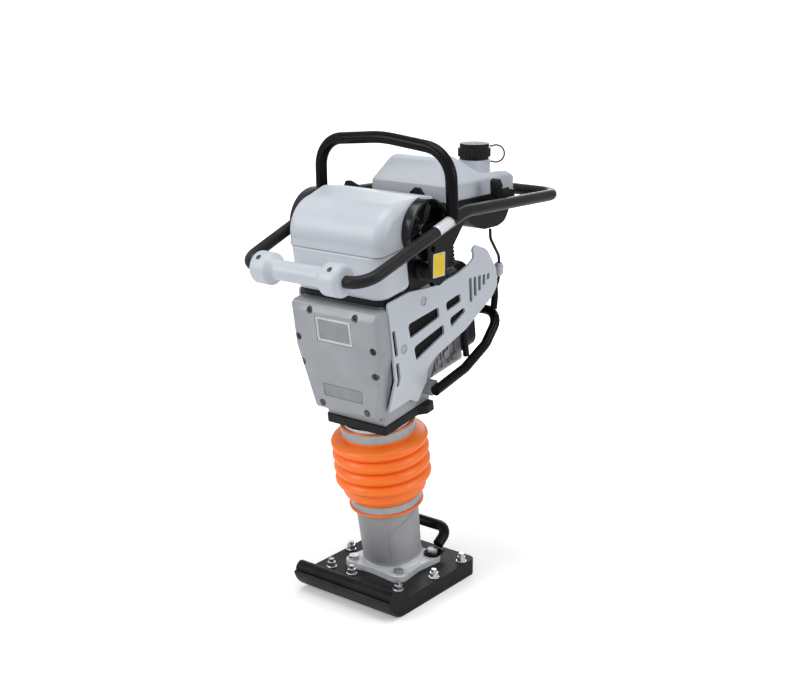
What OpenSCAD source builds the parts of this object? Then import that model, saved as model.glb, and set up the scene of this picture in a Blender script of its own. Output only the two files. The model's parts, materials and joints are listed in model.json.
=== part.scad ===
// Trench rammer with a spring-mounted foot, a crank drive, a small engine and a handle on rubber mounts.
// Millimetres, Z up. The machine faces -Y and stands on its sole at z = 0.
// The ram axis passes through the origin and leans forward: pieces along it are drawn upright, then leaned.
// The handle and all it carries are drawn about the axis of the rubber mounts.

/* [Shoe] */
// Width of the shoe
shoe_w = 265; // [240:1:300]
// Flat sole in front of the ram axis
sole_front = 136; // [126:1:150]
// Flat sole behind the ram axis
sole_rear = 128; // [118:1:150]
// Thickness of the shoe
shoe_t = 38; // [34:1:44]
// Thickness of the steel wear plate
wear_t = 7; // [4:0.5:10]
// Radius of the upturned toe
toe_r = 60; // [56:1:70]
// Angle through which the toe turns up
toe_turn = 75; // [60:1:85]
// Radius of the shoe's corners seen from above
shoe_corner = 16; // [8:1:24]
// Thread size of the shoe bolts
shoe_bolt_d = 12; // [10:1:14]
// Distance of the shoe bolts from the shoe's edges
shoe_bolt_edge = 14; // [13:1:20]

/* [Leg] */
// Forward lean of the ram axis in degrees
lean = 9; // [6:0.5:12]
// Diameter of the leg just above its flange
leg_low_d = 122; // [114:1:128]
// Diameter of the leg below its collar
leg_top_d = 129; // [120:1:136]
// Height of the collar's underside along the ram axis
leg_top = 203; // [190:1:215]
// Diameter of the collar that holds the bellows
collar_d = 146; // [140:1:152]
// Height of the collar
collar_h = 23; // [18:1:28]
// Thickness of the leg's flange
flange_t = 14; // [10:1:18]
// Distance of the flange bolts from the ram axis, along each side
flange_spread = 63; // [58:1:68]
// Thread size of the flange bolts
flange_bolt_d = 14; // [10:1:16]
// Diameter of the carrying bar behind the leg
carry_d = 18; // [14:1:22]
// Distance of the carrying bar behind the flange bolts
carry_reach = 56; // [48:1:64]
// Height of the carrying bar above the shoe
carry_rise = 58; // [50:1:70]

/* [Ram] */
// Outside diameter of the spring cylinder
ram_d = 88; // [84:1:92]
// Wall of the spring cylinder
ram_wall = 6; // [4:0.5:8]
// Height of the spring cylinder's foot along the ram axis
ram_low = 62; // [60:1:70]
// Height of the spring cylinder's rim along the ram axis
ram_top = 333; // [325:1:338]
// Diameter of the piston rod
rod_d = 26; // [22:1:30]
// Height of the spring piston along the ram axis
piston_z = 200; // [190:1:215]
// Thickness of the spring piston
piston_t = 14; // [10:1:18]
// Wire diameter of the ram springs
spring_wire = 9; // [7:0.5:10]
// Turns of each ram spring
spring_turns = 5; // [4:1:6]
// Wall of the guide cylinder
guide_wall = 8; // [6:0.5:10]
// Height of the guide cylinder's lower end along the ram axis
guide_low = 263; // [263:1:275]
// Diameter of the upper collar that holds the bellows
upper_collar_d = 152; // [148:1:158]
// Height of the upper collar's underside along the ram axis
upper_collar_z = 374; // [366:1:380]
// Outside diameter of the bellows
bellows_d = 212; // [200:1:220]
// Depth of the bellows' ribs
rib_depth = 11; // [6:1:14]
// Number of ribs on the bellows
rib_count = 5; // [4:1:7]
// Wall of the bellows
bellows_wall = 4; // [3:0.5:5]
// Thickness of the clamp bands
band_t = 1.2; // [0.8:0.1:2]

/* [Crankcase] */
// Height of the base plate's underside along the ram axis
base_z = 408; // [404:1:412]
// Thickness of the base plate
base_t = 20; // [16:1:24]
// Half width of the crankcase at its foot
case_foot = 78; // [74:1:82]
// Half width of the crankcase at its shoulders
case_half = 108; // [102:1:110]
// Height of the crankcase's shoulders along the ram axis
shoulder_z = 540; // [530:1:550]
// Height of the crankcase above its base plate
case_h = 272; // [262:1:276]
// Crankcase in front of the ram axis
case_front = 66; // [62:1:70]
// Crankcase behind the ram axis
case_rear = 88; // [88:1:96]
// Wall of the crankcase
case_wall = 9; // [7:0.5:11]
// Depth of the front cover
cover_t = 38; // [32:1:42]
// Front cover beyond the crankcase on each side
cover_lip = 8; // [5:0.5:10]
// Radius of the front cover's rim
cover_round = 16; // [10:1:20]
// Thread size of the cover bolts
cover_bolt_d = 8; // [6:1:10]

/* [Drive] */
// Tooth module of the reduction gears
tooth_module = 2.25; // [2.1:0.05:2.4]
// Teeth on the crank gear
gear_teeth = 60; // [55:5:60]
// Teeth on the pinion
pinion_teeth = 12; // [12:1:13]
// Height of the engine shaft along the ram axis
shaft_z = 585; // [580:1:592]
// Width of the crank gear
gear_w = 20; // [16:1:22]
// Radius of the crank pin's circle
crank_r = 25; // [22:1:27]
// Diameter of the crank pin
crank_pin_d = 22; // [18:1:24]
// Distance between the connecting rod's bores
conrod_l = 72; // [70:1:74]
// Width of the connecting rod
conrod_w = 18; // [14:1:20]
// Diameter of the crank gear's shaft
gear_shaft_d = 30; // [26:1:34]
// Outside diameter of the clutch drum
drum_d = 84; // [78:1:86]
// Diameter of the engine shaft
shaft_d = 20; // [16:1:22]

/* [Engine] */
// Height of the engine's crankcase above its shaft
block_rise = 52; // [48:1:56]
// Length of the engine's crankcase
block_l = 108; // [102:1:112]
// Half width of the engine's sump
sump_half = 86; // [78:1:90]
// Depth of the sump below the engine shaft
sump_drop = 116; // [104:1:118]
// Number of cooling fins
fin_count = 8; // [6:1:9]
// Thickness of a cooling fin
fin_t = 3; // [2:0.5:3.5]
// Spacing of the cooling fins
fin_pitch = 7; // [6:0.5:7]
// Diameter of the recoil starter
starter_d = 190; // [170:1:196]
// Depth of the recoil starter
starter_t = 48; // [40:1:56]
// Diameter of the engine guard's tube
guard_d = 22; // [18:1:24]
// Distance of the engine guard's centre line inside the side shrouds
guard_set = 2; // [0:0.5:4]

/* [Shrouds] */
// Gap between the crankcase and the side shrouds
shroud_gap = 6; // [5:0.5:8]
// Wall of the side shrouds
shroud_wall = 5; // [3:0.5:5]

/* [Air cleaner] */
// Half width of the air cleaner
cleaner_half = 124; // [118:1:128]
// Radius of the round filter housing
filter_r = 63; // [58:1:66]
// Wall of the air cleaner
cleaner_wall = 4; // [3:0.5:5]
// Depth of the dished end caps
end_cap_dish = 12; // [8:1:16]

/* [Handle] */
// Diameter of the handle tubes
tube_d = 25; // [22:1:28]
// Half width over the handle's centre line
handle_half = 174.5; // [172:0.5:180]
// Radius of the tube bends
bend_r = 45; // [36:1:50]
// Height of the lifting hoop above the mounts
hoop_rise = 258; // [240:1:280]
// Height of the hand grip above the mounts
grip_rise = 107; // [98:1:112]
// Distance of the rear grip behind the mounts
grip_back = 432; // [420:1:450]
// Distance of the guide roller in front of the mounts
roller_front = 232; // [228:1:245]
// Height of the guide roller above the mounts
roller_rise = 17; // [8:1:26]
// Diameter of the roller's hubs
roller_d = 66; // [56:1:72]
// Diameter of the roller between its hubs
roller_waist = 41; // [34:1:46]
// Distance of the roller's ends inside the handle's centre line
roller_set = 62.5; // [60:0.5:70]
// Thickness of the bracket plates
bracket_t = 5.5; // [4:0.5:7]
// Diameter of the rubber mounts
mount_d = 40; // [34:1:44]
// Thread size of the mount bolts
mount_bolt_d = 12; // [10:1:14]

/* [Fuel] */
// Height of the fuel tank
tank_h = 90; // [82:1:94]
// Half width of the fuel tank
tank_half = 97; // [90:1:102]
// Diameter of the tank's filler neck
neck_d = 50; // [44:1:54]
// Diameter of the tank cap
cap_d = 72; // [66:1:78]
// Diameter of the fuel hose
hose_d = 6.5; // [5.5:0.5:7.5]

/* [Hidden] */
$fn = 64;

// Clearances: a running fit, a gap between pieces that move apart, and a seat between fixed round pieces
fit = 0.05;
gap = 0.4;
seat = 0.05;

// Sizes that follow from the ram
ram_id = ram_d - 2 * ram_wall;
guide_id = ram_d + 2 * fit;
guide_od = guide_id + 2 * guide_wall;
collar_top = leg_top + collar_h;
cuff_r = collar_d / 2 + 0.3;
upper_cuff_r = upper_collar_d / 2 + 0.3;
cap_t = 12;
ram_floor = 8;
spring_d = ram_id - 4 - spring_wire;
flange_y = -(shoe_t + flange_t / 2) * tan(lean);

// Sizes that follow from the drive
gear_pitch_r = tooth_module * gear_teeth / 2;
pinion_pitch_r = tooth_module * pinion_teeth / 2;
gear_z = shaft_z - gear_pitch_r - pinion_pitch_r;
web_front = conrod_w / 2 + 5 + gear_w + 2;
web_rear = web_front + 20;
wrist_z = gear_z - crank_r - conrod_l;
small_end_r = 17;
big_end_r = crank_pin_d / 2 + 11;
wrist_d = 16;
fork_half = 15.5;
gear_front = web_front - 2 - gear_w;
bearing_od = gear_shaft_d + 30;
pinion_bearing_od = shaft_d + 22;
case_base = base_z + base_t;
case_top = case_base + case_h;
floor_z = case_base + 12;
case_taper_z = case_base + 27;
// Height of a share of the crankcase above its base
function up(share) = case_base + share * case_h;

// The air cleaner: its tray's floor and back, its seam, its top, and the axis of the filter
tray_z = case_top + 22;
seam_z = case_top + 106;
filter_y = 62;
filter_z = case_top + 130;
hood_top = filter_z + filter_r;
hood_front = -case_front - 14;
tray_back = filter_y + filter_r - 8;

// Sizes that follow from the engine, whose cylinder stands behind the air cleaner
block_y = case_rear + 10;
barrel_y = tray_back + 44;
barrel_z = shaft_z + block_rise;
head_z = barrel_z + fin_count * fin_pitch + 2;
fan_y = block_y + block_l;
fan_t = 14;
starter_y = fan_y + fan_t;
carb_x = 78;
carb_z = head_z - 18;
carb_y = barrel_y + 25;
guard_low = case_base + 36;
shroud_half = case_half + shroud_gap + shroud_wall;
guard_half = shroud_half - guard_set;
lug_x = guard_half - guard_d / 2 - 0.3;

// The rubber mounts, on the leaned machine and in the standing frame
mount_y = 52;
mount_z = case_top + 39;
pivot_y = mount_y * cos(lean) - mount_z * sin(lean);
pivot_z = mount_y * sin(lean) + mount_z * cos(lean);
ear_x = shroud_half - shroud_wall - 1;
ear_t = 8;
mount_x = ear_x + 0.1;
bracket_x = handle_half - tube_d / 2 - 0.3 - bracket_t;

// The fuel tank on the handle: its floor, its front and the filler
tank_z = 119;
tray_front = 74;
tank_front = 108;
tank_back = 364;
filler = [50, 279];
cap_z = tank_z + tank_h - 19;
tray_drop = 20;
strap_t = 3;
well_z = tank_z - tray_drop + strap_t - 0.4;
well_h = 61;

// The bent outlines of the tubes, in the frames that they are drawn in
knee = [72, 117];
knee_r = 110;
hoop_y = 27;
hoop_sag = 17;
roller_half = handle_half - roller_set;
roller_end = roller_half + 2;
handle_path = concat(
    [[roller_end, -roller_front, roller_rise], [handle_half - 16, -roller_front, roller_rise]],
    [[handle_half, knee[0], knee[1]], [handle_half, grip_back, grip_rise]],
    [[-handle_half, grip_back, grip_rise], [-handle_half, knee[0], knee[1]]],
    [[-handle_half + 16, -roller_front, roller_rise], [-roller_end, -roller_front, roller_rise]]);
handle_bends = [0, bend_r, knee_r, bend_r, bend_r, knee_r, bend_r, 0];
hoop_base = roller_rise + 4 + (knee[1] - roller_rise) * (hoop_y + roller_front) / (knee[0] + roller_front);
hoop_path = [
    [handle_half - 2, hoop_y + 3, hoop_base], [handle_half - 5, hoop_y - 3, hoop_rise - hoop_sag],
    [0, hoop_y - 5, hoop_rise],
    [-handle_half + 5, hoop_y - 3, hoop_rise - hoop_sag], [-handle_half + 2, hoop_y + 3, hoop_base]];
hoop_bends = [0, 65, 300, 65, 0];
guard_path = [
    [guard_half, 60, guard_low], [guard_half, 172, guard_low + 8], [guard_half, 254, guard_low + 32],
    [guard_half, 320, guard_low + 84], [-guard_half, 320, guard_low + 84],
    [-guard_half, 254, guard_low + 32], [-guard_half, 172, guard_low + 8], [-guard_half, 60, guard_low]];
carry_tab = 6;
carry_lift = shoe_t + flange_t + carry_tab + carry_d / 2 - 1.2;
carry_foot = [flange_spread, flange_y + flange_spread + 17, carry_lift];
carry_back = [flange_spread, flange_y + flange_spread + carry_reach, shoe_t + carry_rise];
carry_path = [carry_foot, carry_back, [-carry_back[0], carry_back[1], carry_back[2]],
    [-carry_foot[0], carry_foot[1], carry_foot[2]]];
// The fuel line falls from the tank's well through a filter and turns forward to the carburettor
fuel_filter = [97, 250, 668];
fuel_filter_l = 30;
line_x = starter_d / 2 + hose_d / 2 + gap;
line_z = carb_z - 37.5;
line_top = [94, pivot_y + 281, pivot_z + well_z - well_h];
line_path = [
    line_top - [0, 0, 0.4], line_top - [0, -2, 22], fuel_filter + [0, 0, fuel_filter_l + 14],
    fuel_filter - [0, 0, 30], fuel_filter - [3.1, 30, 30],
    tilt([line_x, starter_y + starter_t + 18, line_z - 38]),
    tilt([line_x, fan_y + 9, line_z]), tilt([line_x, carb_y + 6.3, line_z])];

// Unit vector, the plane part of a point, and a point of the machine leaned with the ram
function unit(v) = v / norm(v);
function flat(p) = [p[0], p[1]];
function tilt(p) = [p[0], p[1] * cos(lean) - p[2] * sin(lean), p[1] * sin(lean) + p[2] * cos(lean)];

// One corner of an outline, rounded by an arc of n steps
function corner(a, p, b, r, n) =
    let (u = unit(a - p), w = unit(b - p), half = acos(u * w) / 2)
    let (c = p + unit(u + w) * (r / sin(half)), e = unit(p + u * (r / tan(half)) - c))
    let (turn = (180 - 2 * half) * sign(e[0] * -u[1] + e[1] * u[0]))
    [for (k = [0 : n]) let (t = turn * k / n)
        c + r * [e[0] * cos(t) - e[1] * sin(t), e[0] * sin(t) + e[1] * cos(t)]];

// An outline whose corners are given as x, y and radius
function rounded(pts, n = 6) = [
    for (i = [0 : len(pts) - 1])
        let (a = pts[(i + len(pts) - 1) % len(pts)], p = pts[i], b = pts[(i + 1) % len(pts)])
        each (p[2] == 0 ? [flat(p)] : corner(flat(a), flat(p), flat(b), p[2], n))];

// A path in space whose corners are bent in n steps, to one radius or to a list of them
function bent(pts, r, n = 6) = concat(
    [pts[0]],
    [for (i = [1 : len(pts) - 2])
        each bend(unit(pts[i - 1] - pts[i]), pts[i], unit(pts[i + 1] - pts[i]), is_list(r) ? r[i] : r, n)],
    [pts[len(pts) - 1]]);
function bend(u, p, w, r, n) =
    let (half = acos(u * w) / 2, c = p + unit(u + w) * (r / sin(half)))
    let (e = unit(p + u * (r / tan(half)) - c))
    [for (k = [0 : n]) let (t = (180 - 2 * half) * k / n) c + r * (e * cos(t) - u * sin(t))];

// A round bar swept along points, with its rings square to the path
module sweep(p, d, sides) {
    last = len(p) - 1;
    t = [for (i = [0 : last]) unit(p[min(i + 1, last)] - p[max(i - 1, 0)])];
    start = abs(t[0][2]) < 0.8 ? cross(t[0], [0, 0, 1]) : cross(t[0], [1, 0, 0]);
    n = [for (i = 0, v = unit(start); i <= last;
        i = i + 1, v = i <= last ? unit(v - (v * t[i]) * t[i]) : v) v];
    rings = [for (i = [0 : last]) for (k = [0 : sides - 1])
        p[i] + d / 2 * (cos(360 * k / sides) * n[i] + sin(360 * k / sides) * cross(t[i], n[i]))];
    walls = [for (i = [0 : last - 1]) for (k = [0 : sides - 1])
        let (a = i * sides + k, b = i * sides + (k + 1) % sides)
        each [[a, a + sides, b + sides], [a, b + sides, b]]];
    ends = [[for (k = [0 : sides - 1]) k], [for (k = [sides - 1 : -1 : 0]) last * sides + k]];
    polyhedron(rings, concat(walls, ends), convexity = 10);
}

// Placing: the leaned machine, the handle, and outlines drawn along an axis
module leaned() rotate([lean, 0, 0]) children();
module on_handle() translate([0, pivot_y, pivot_z]) children();
module along_x(x0, x1) translate([x0, 0, 0]) rotate([90, 0, 90]) linear_extrude(x1 - x0) children();
module along_y(y0, y1) translate([0, y1, 0]) rotate([90, 0, 0]) linear_extrude(y1 - y0) children();
module rod_x(d, x0, x1) translate([x0, 0, 0]) rotate([0, 90, 0]) cylinder(d = d, h = x1 - x0);
module rod_y(d, y0, y1) translate([0, y1, 0]) rotate([90, 0, 0]) cylinder(d = d, h = y1 - y0);
module both_sides() {
    children();
    mirror([1, 0, 0]) children();
}
// A hexagon bolt whose head sits on z = 0 and whose shank points down
module hex_bolt(d, l) {
    cylinder(d = 1.8 * d, h = 0.65 * d, $fn = 6);
    translate([0, 0, -l]) cylinder(d = d, h = l);
}

// Shoe
shoe_bolt_x = shoe_w / 2 - shoe_bolt_edge;
shoe_bolts_at = [
    for (s = [-1, 1]) each [
        [s * (shoe_bolt_x - 24), -sole_front + shoe_bolt_edge + 11], [s * shoe_bolt_x, -14],
        [s * shoe_bolt_x, sole_rear - shoe_bolt_edge - 24]],
    [-36, -sole_front + shoe_bolt_edge + 11]];
function toe(r, a) = [-sole_front + r * cos(a), toe_r + r * sin(a)];
// Side view of a layer of the shoe between two depths under its top, with a round end at the toe
module shoe_layer(outer, inner) {
    thick = outer - inner;
    end = 270 - toe_turn;
    polygon(concat(
        [[sole_rear, toe_r - inner], [sole_rear, toe_r - outer]],
        [for (k = [0 : 12]) toe(outer, 270 - toe_turn * k / 12)],
        [for (k = [1 : 7]) toe((outer + inner) / 2, end)
            + thick / 2 * [cos(end - 180 * k / 8), sin(end - 180 * k / 8)]],
        [for (k = [12 : -1 : 0]) toe(inner, 270 - toe_turn * k / 12)]));
}
module shoe_plan() {
    front = -sole_front - toe_r - shoe_t;
    half = shoe_w / 2;
    polygon(rounded([
        [half, front, 0], [half, sole_rear, shoe_corner], [-half, sole_rear, shoe_corner], [-half, front, 0]]));
}
module shoe_solid(outer, inner) {
    intersection() {
        along_x(-shoe_w / 2, shoe_w / 2) shoe_layer(outer, inner);
        translate([0, 0, -1]) linear_extrude(toe_r + shoe_t) shoe_plan();
    }
}
module wear_plate() {
    color("dimgray") shoe_solid(toe_r, toe_r - wear_t);
}
module shoe_core() {
    color([0.12, 0.12, 0.12]) difference() {
        shoe_solid(toe_r - wear_t, toe_r - shoe_t);
        for (p = shoe_bolts_at)
            translate([p[0], p[1], wear_t - 1]) cylinder(d = shoe_bolt_d + 2 * seat, h = shoe_t);
        for (sx = [-1, 1], sy = [-1, 1])
            translate([sx * flange_spread, flange_y + sy * flange_spread, wear_t - 1])
                cylinder(d = flange_bolt_d + 2 * seat, h = shoe_t);
    }
}
module shoe_bolts() {
    color("silver") for (p = shoe_bolts_at) translate([p[0], p[1], shoe_t]) {
        cylinder(d = 2 * shoe_bolt_d, h = 2.5);
        translate([0, 0, 2.5]) cylinder(d = 1.7 * shoe_bolt_d, h = 10, $fn = 6);
        translate([0, 0, wear_t - shoe_t]) cylinder(d = shoe_bolt_d, h = shoe_t - wear_t + 20);
    }
}

// Leg
lobe_r = flange_bolt_d + 8;
// Square flange with a round lobe at each bolt and hollow sides
module flange_outline() {
    h = flange_spread + lobe_r;
    n = h - 10;
    polygon(rounded([for (a = [0 : 90 : 270]) each [
        [h * cos(a) - h * sin(a), h * sin(a) + h * cos(a), lobe_r], [-n * sin(a), n * cos(a), 60]]], 8));
}
module leg_casting() {
    color([0.66, 0.67, 0.68]) difference() {
        union() {
            translate([0, flange_y, shoe_t]) linear_extrude(flange_t) flange_outline();
            leaned() {
                translate([0, 0, ram_low - 40])
                    cylinder(d1 = leg_low_d, d2 = leg_top_d, h = leg_top - ram_low + 40);
                translate([0, 0, shoe_t]) cylinder(d1 = leg_low_d + 26, d2 = leg_low_d - 4, h = 34);
                translate([0, 0, leg_top]) cylinder(d = collar_d, h = collar_h);
                translate([0, 0, leg_top - 9]) cylinder(d1 = leg_top_d - 5, d2 = collar_d - 3, h = 10);
            }
        }
        translate([0, 0, shoe_t - 100]) cube([2 * shoe_w, 2 * shoe_w, 200], center = true);
        leaned() translate([0, 0, ram_low]) cylinder(d = ram_d + 2 * seat, h = leg_top);
        for (sx = [-1, 1], sy = [-1, 1])
            translate([sx * flange_spread, flange_y + sy * flange_spread, 0])
                cylinder(d = flange_bolt_d + 2 * seat, h = shoe_t + 2 * flange_t);
    }
}
module flange_bolts() {
    color("silver") for (sx = [-1, 1], sy = [-1, 1]) let (lift = sy > 0 ? carry_tab : 0)
        translate([sx * flange_spread, flange_y + sy * flange_spread, shoe_t + flange_t + lift])
            hex_bolt(flange_bolt_d, flange_t + shoe_t - wear_t + lift);
}
// Carrying bar, with flat feet under the heads of the rear flange bolts
module carry_bar() {
    color([0.1, 0.1, 0.1]) {
        sweep(bent(carry_path, 28), carry_d, 12);
        both_sides() translate([flange_spread, flange_y + flange_spread, shoe_t + flange_t]) difference() {
            union() {
                cylinder(r = lobe_r - 4, h = carry_tab);
                translate([-carry_d / 2, 0, 0]) cube([carry_d, lobe_r + 8, carry_tab]);
            }
            translate([0, 0, -1]) cylinder(d = flange_bolt_d + 2 * seat, h = carry_tab + 2);
        }
    }
}

// Ram: spring cylinder on the leg, guide cylinder and piston on the machine
module spring_cylinder() {
    color("silver") leaned() difference() {
        translate([0, 0, ram_low]) cylinder(d = ram_d, h = ram_top - ram_low);
        translate([0, 0, ram_low + ram_floor]) cylinder(d = ram_id, h = ram_top);
    }
}
module cylinder_cap() {
    color("darkgoldenrod") leaned() translate([0, 0, ram_top]) difference() {
        cylinder(d = ram_d - 2, h = cap_t);
        translate([0, 0, -1]) cylinder(d = rod_d + 2 * fit, h = cap_t + 2);
    }
}
function coil(z0, z1) = [
    for (k = [0 : 14 * spring_turns]) let (a = 360 * k / 14, f = k / (14 * spring_turns))
    [spring_d / 2 * cos(a), spring_d / 2 * sin(a), z0 + spring_wire / 2 + f * (z1 - z0 - spring_wire)]];
module lower_spring() {
    color("slategray") leaned() sweep(coil(ram_low + ram_floor, piston_z), spring_wire, 6);
}
module upper_spring() {
    color("slategray") leaned() sweep(coil(piston_z + piston_t, ram_top), spring_wire, 6);
}
module piston_rod() {
    color("lightsteelblue") leaned() difference() {
        union() {
            translate([0, 0, piston_z]) cylinder(d = ram_id - 2 * fit, h = piston_t);
            translate([0, 0, piston_z]) cylinder(d = rod_d, h = wrist_z - small_end_r - piston_z);
            translate([0, 0, wrist_z - small_end_r - gap - 6]) cylinder(r = small_end_r + 3, h = 6);
            along_y(-fork_half, fork_half) translate([0, wrist_z]) circle(r = small_end_r);
            along_y(-fork_half, fork_half)
                translate([-small_end_r, wrist_z - small_end_r - gap - 2])
                    square([2 * small_end_r, small_end_r]);
        }
        along_y(-conrod_w / 2 - gap, conrod_w / 2 + gap)
            translate([-100, wrist_z - small_end_r - gap]) square([200, 200]);
        translate([0, 0, wrist_z]) rod_y(wrist_d + 2 * fit, -fork_half - 1, fork_half + 1);
    }
}
module guide_cylinder() {
    color([0.6, 0.61, 0.62]) leaned() difference() {
        union() {
            translate([0, 0, guide_low]) cylinder(d = guide_od, h = case_base - guide_low);
            translate([0, 0, upper_collar_z]) cylinder(d = upper_collar_d, h = base_z - upper_collar_z);
        }
        translate([0, 0, guide_low - 1]) cylinder(d = guide_id, h = case_base);
    }
}

// Bellows: two cuffs and a row of round ribs, the lowest one smaller
rib_low = collar_top + 1;
rib_pitch = (upper_collar_z - 1 - rib_low) / rib_count;
function rib_crest(i) = bellows_d / 2 - (i == 0 ? 15 : 0);
function rib_root(i) = i == 0 ? cuff_r + bellows_wall : i == rib_count ? upper_cuff_r + bellows_wall :
    i == 1 ? bellows_d / 2 - rib_depth - 5 : bellows_d / 2 - rib_depth;
function rib_r(i, f) = let (root = f < 0.5 ? rib_root(i) : rib_root(i + 1))
    root + (rib_crest(i) - root) * pow(sin(180 * f), 0.65);
function bellows_line(inset) = concat(
    [[cuff_r + bellows_wall - inset, leg_top], [cuff_r + bellows_wall - inset, rib_low - 0.5]],
    [for (i = [0 : rib_count - 1]) for (k = [0 : 7]) let (f = (k + 0.5) / 8)
        [rib_r(i, f) - inset, rib_low + (i + f) * rib_pitch]],
    [[upper_cuff_r + bellows_wall - inset, upper_collar_z + 0.5],
     [upper_cuff_r + bellows_wall - inset, base_z - 8]]);
module bellows() {
    inner = bellows_line(bellows_wall);
    color([1, 0.42, 0.08]) leaned() rotate_extrude($fn = 96)
        polygon(concat(bellows_line(0), [for (i = [len(inner) - 1 : -1 : 0]) inner[i]]));
}
// Clamp band with the housing of its screw at the back
module clamp_band(r, z, h) {
    color("gainsboro") leaned() translate([0, 0, z]) {
        difference() {
            union() {
                cylinder(r = r + band_t, h = h);
                translate([-12, r - 2, 2]) cube([24, 10, h - 4]);
            }
            translate([0, 0, -1]) cylinder(r = r + seat, h = h + 2);
        }
        translate([0, r + 4, h / 2]) rod_x(6, 12, 20);
    }
}
module lower_clamp() clamp_band(cuff_r + bellows_wall, leg_top + 2, collar_h - 5);
module upper_clamp() clamp_band(upper_cuff_r + bellows_wall, upper_collar_z + 4, base_z - upper_collar_z - 14);

// Crankcase
function case_outline(half, foot, low, top, shoulder, r) = rounded([
    [-foot, low, 0], [foot, low, 0], [foot, case_taper_z, r], [half, shoulder, 2 * r], [half, top, r],
    [-half, top, r], [-half, shoulder, 2 * r], [-foot, case_taper_z, r]]);
module base_plate() {
    hole = guide_od + 2 * seat;
    color([0.1, 0.1, 0.1]) leaned() translate([0, 0, base_z]) difference() {
        linear_extrude(base_t) polygon(rounded([
            [case_foot + 3, -case_front - 6, 8], [case_foot + 3, 40, 10], [case_foot + 18, 54, 8],
            [case_foot + 18, 84, 10], [-case_foot - 18, 84, 10], [-case_foot - 18, 54, 8],
            [-case_foot - 3, 40, 10], [-case_foot - 3, -case_front - 6, 8]]));
        translate([0, 0, -1]) cylinder(d = hole, h = base_t + 2);
    }
}
cover_bolts_at = [for (s = [-1, 1]) each [
    [s * 60, case_top - 20], [s * (case_half - 9), up(0.69)], [s * (case_half - 12), up(0.485)],
    [s * (case_foot - 18), case_taper_z + 14]]];
module bolt_row(d, y0, y1) for (p = cover_bolts_at) translate([p[0], 0, p[1]]) rod_y(d, y0, y1);
module crankcase() {
    color([0.7, 0.71, 0.72]) leaned() difference() {
        union() {
            along_y(-case_front, case_rear)
                polygon(case_outline(case_half, case_foot, case_base, case_top, shoulder_z, 12));
            both_sides() along_x(case_foot - 20, lug_x)
                polygon(rounded([[62, guard_low - 16, 4], [86, guard_low - 16, 4], [86, guard_low + 14, 4],
                    [62, guard_low + 14, 4]]));
        }
        along_y(-case_front - 1, web_front) polygon(case_outline(
            case_half - case_wall, case_foot - case_wall, floor_z, case_top - case_wall, shoulder_z + 2, 8));
        translate([0, 0, gear_z]) rod_y(bearing_od + 2 * seat, web_front - 1, web_rear);
        translate([0, 0, shaft_z]) rod_y(pinion_bearing_od + 2 * seat, web_front - 1, web_rear + 1);
        translate([0, 0, shaft_z]) rod_y(drum_d + 8, web_rear, case_rear + 1);
        cylinder(d = guide_id + 10, h = floor_z + 1);
        bolt_row(cover_bolt_d + 2 * seat, -case_front - 1, -case_front + 16);
        for (p = shroud_bolts_at) both_sides() translate([0, p[0], p[1]])
            rod_x(shroud_bolt_d + 2 * seat, case_half - 8, case_half + 1);
    }
}
// Front cover: a shield with a chamfered head, a stepped lower panel and bolt pockets
cover_y = -case_front - cover_t;
cover_half = case_half + cover_lip;
module front_cover() {
    low = case_taper_z - 1;
    color([0.68, 0.69, 0.71]) leaned() difference() {
        intersection() {
            hull() for (k = [0 : 3]) let (inset = cover_round * (1 - cos(30 * k)))
                let (deep = cover_y + cover_round * (1 - sin(30 * k)))
                along_y(deep, k == 0 ? -case_front : deep + 0.5) polygon(case_outline(
                    cover_half - inset, case_foot + 4 - inset, low, case_top - 5 - inset, up(0.62), 9));
            along_x(-cover_half - 1, cover_half + 1) polygon(rounded([
                [-case_front, low - 1, 0], [-case_front, case_top, 0], [cover_y + 13, case_top, 0],
                [cover_y, case_top - 22, 6], [cover_y, shoulder_z + 8, 4], [cover_y + 6, shoulder_z - 4, 4],
                [cover_y + 6, low + 8, 4], [cover_y + 12, low - 1, 0]]));
        }
        along_y(-case_front - cover_t / 2, -case_front + 1) polygon(case_outline(
            case_half - case_wall - 12, case_foot - case_wall - 6, case_base + 40, case_top - 28, up(0.5), 8));
        bolt_row(cover_bolt_d + 2 * seat, cover_y - 1, -case_front + 1);
        bolt_row(2 * cover_bolt_d, cover_y - 1, cover_y + 11);
        translate([-47, cover_y - 1, up(0.6875)]) cube([94, 2.5, 0.206 * case_h]);
        translate([-52, cover_y + 5, up(0.22)]) cube([104, 2.5, 0.105 * case_h]);
    }
}
module cover_bolts() {
    color("gray") leaned() {
        bolt_row(1.7 * cover_bolt_d, cover_y + 6, cover_y + 11);
        bolt_row(cover_bolt_d, cover_y + 11, -case_front + 15);
    }
}

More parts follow.
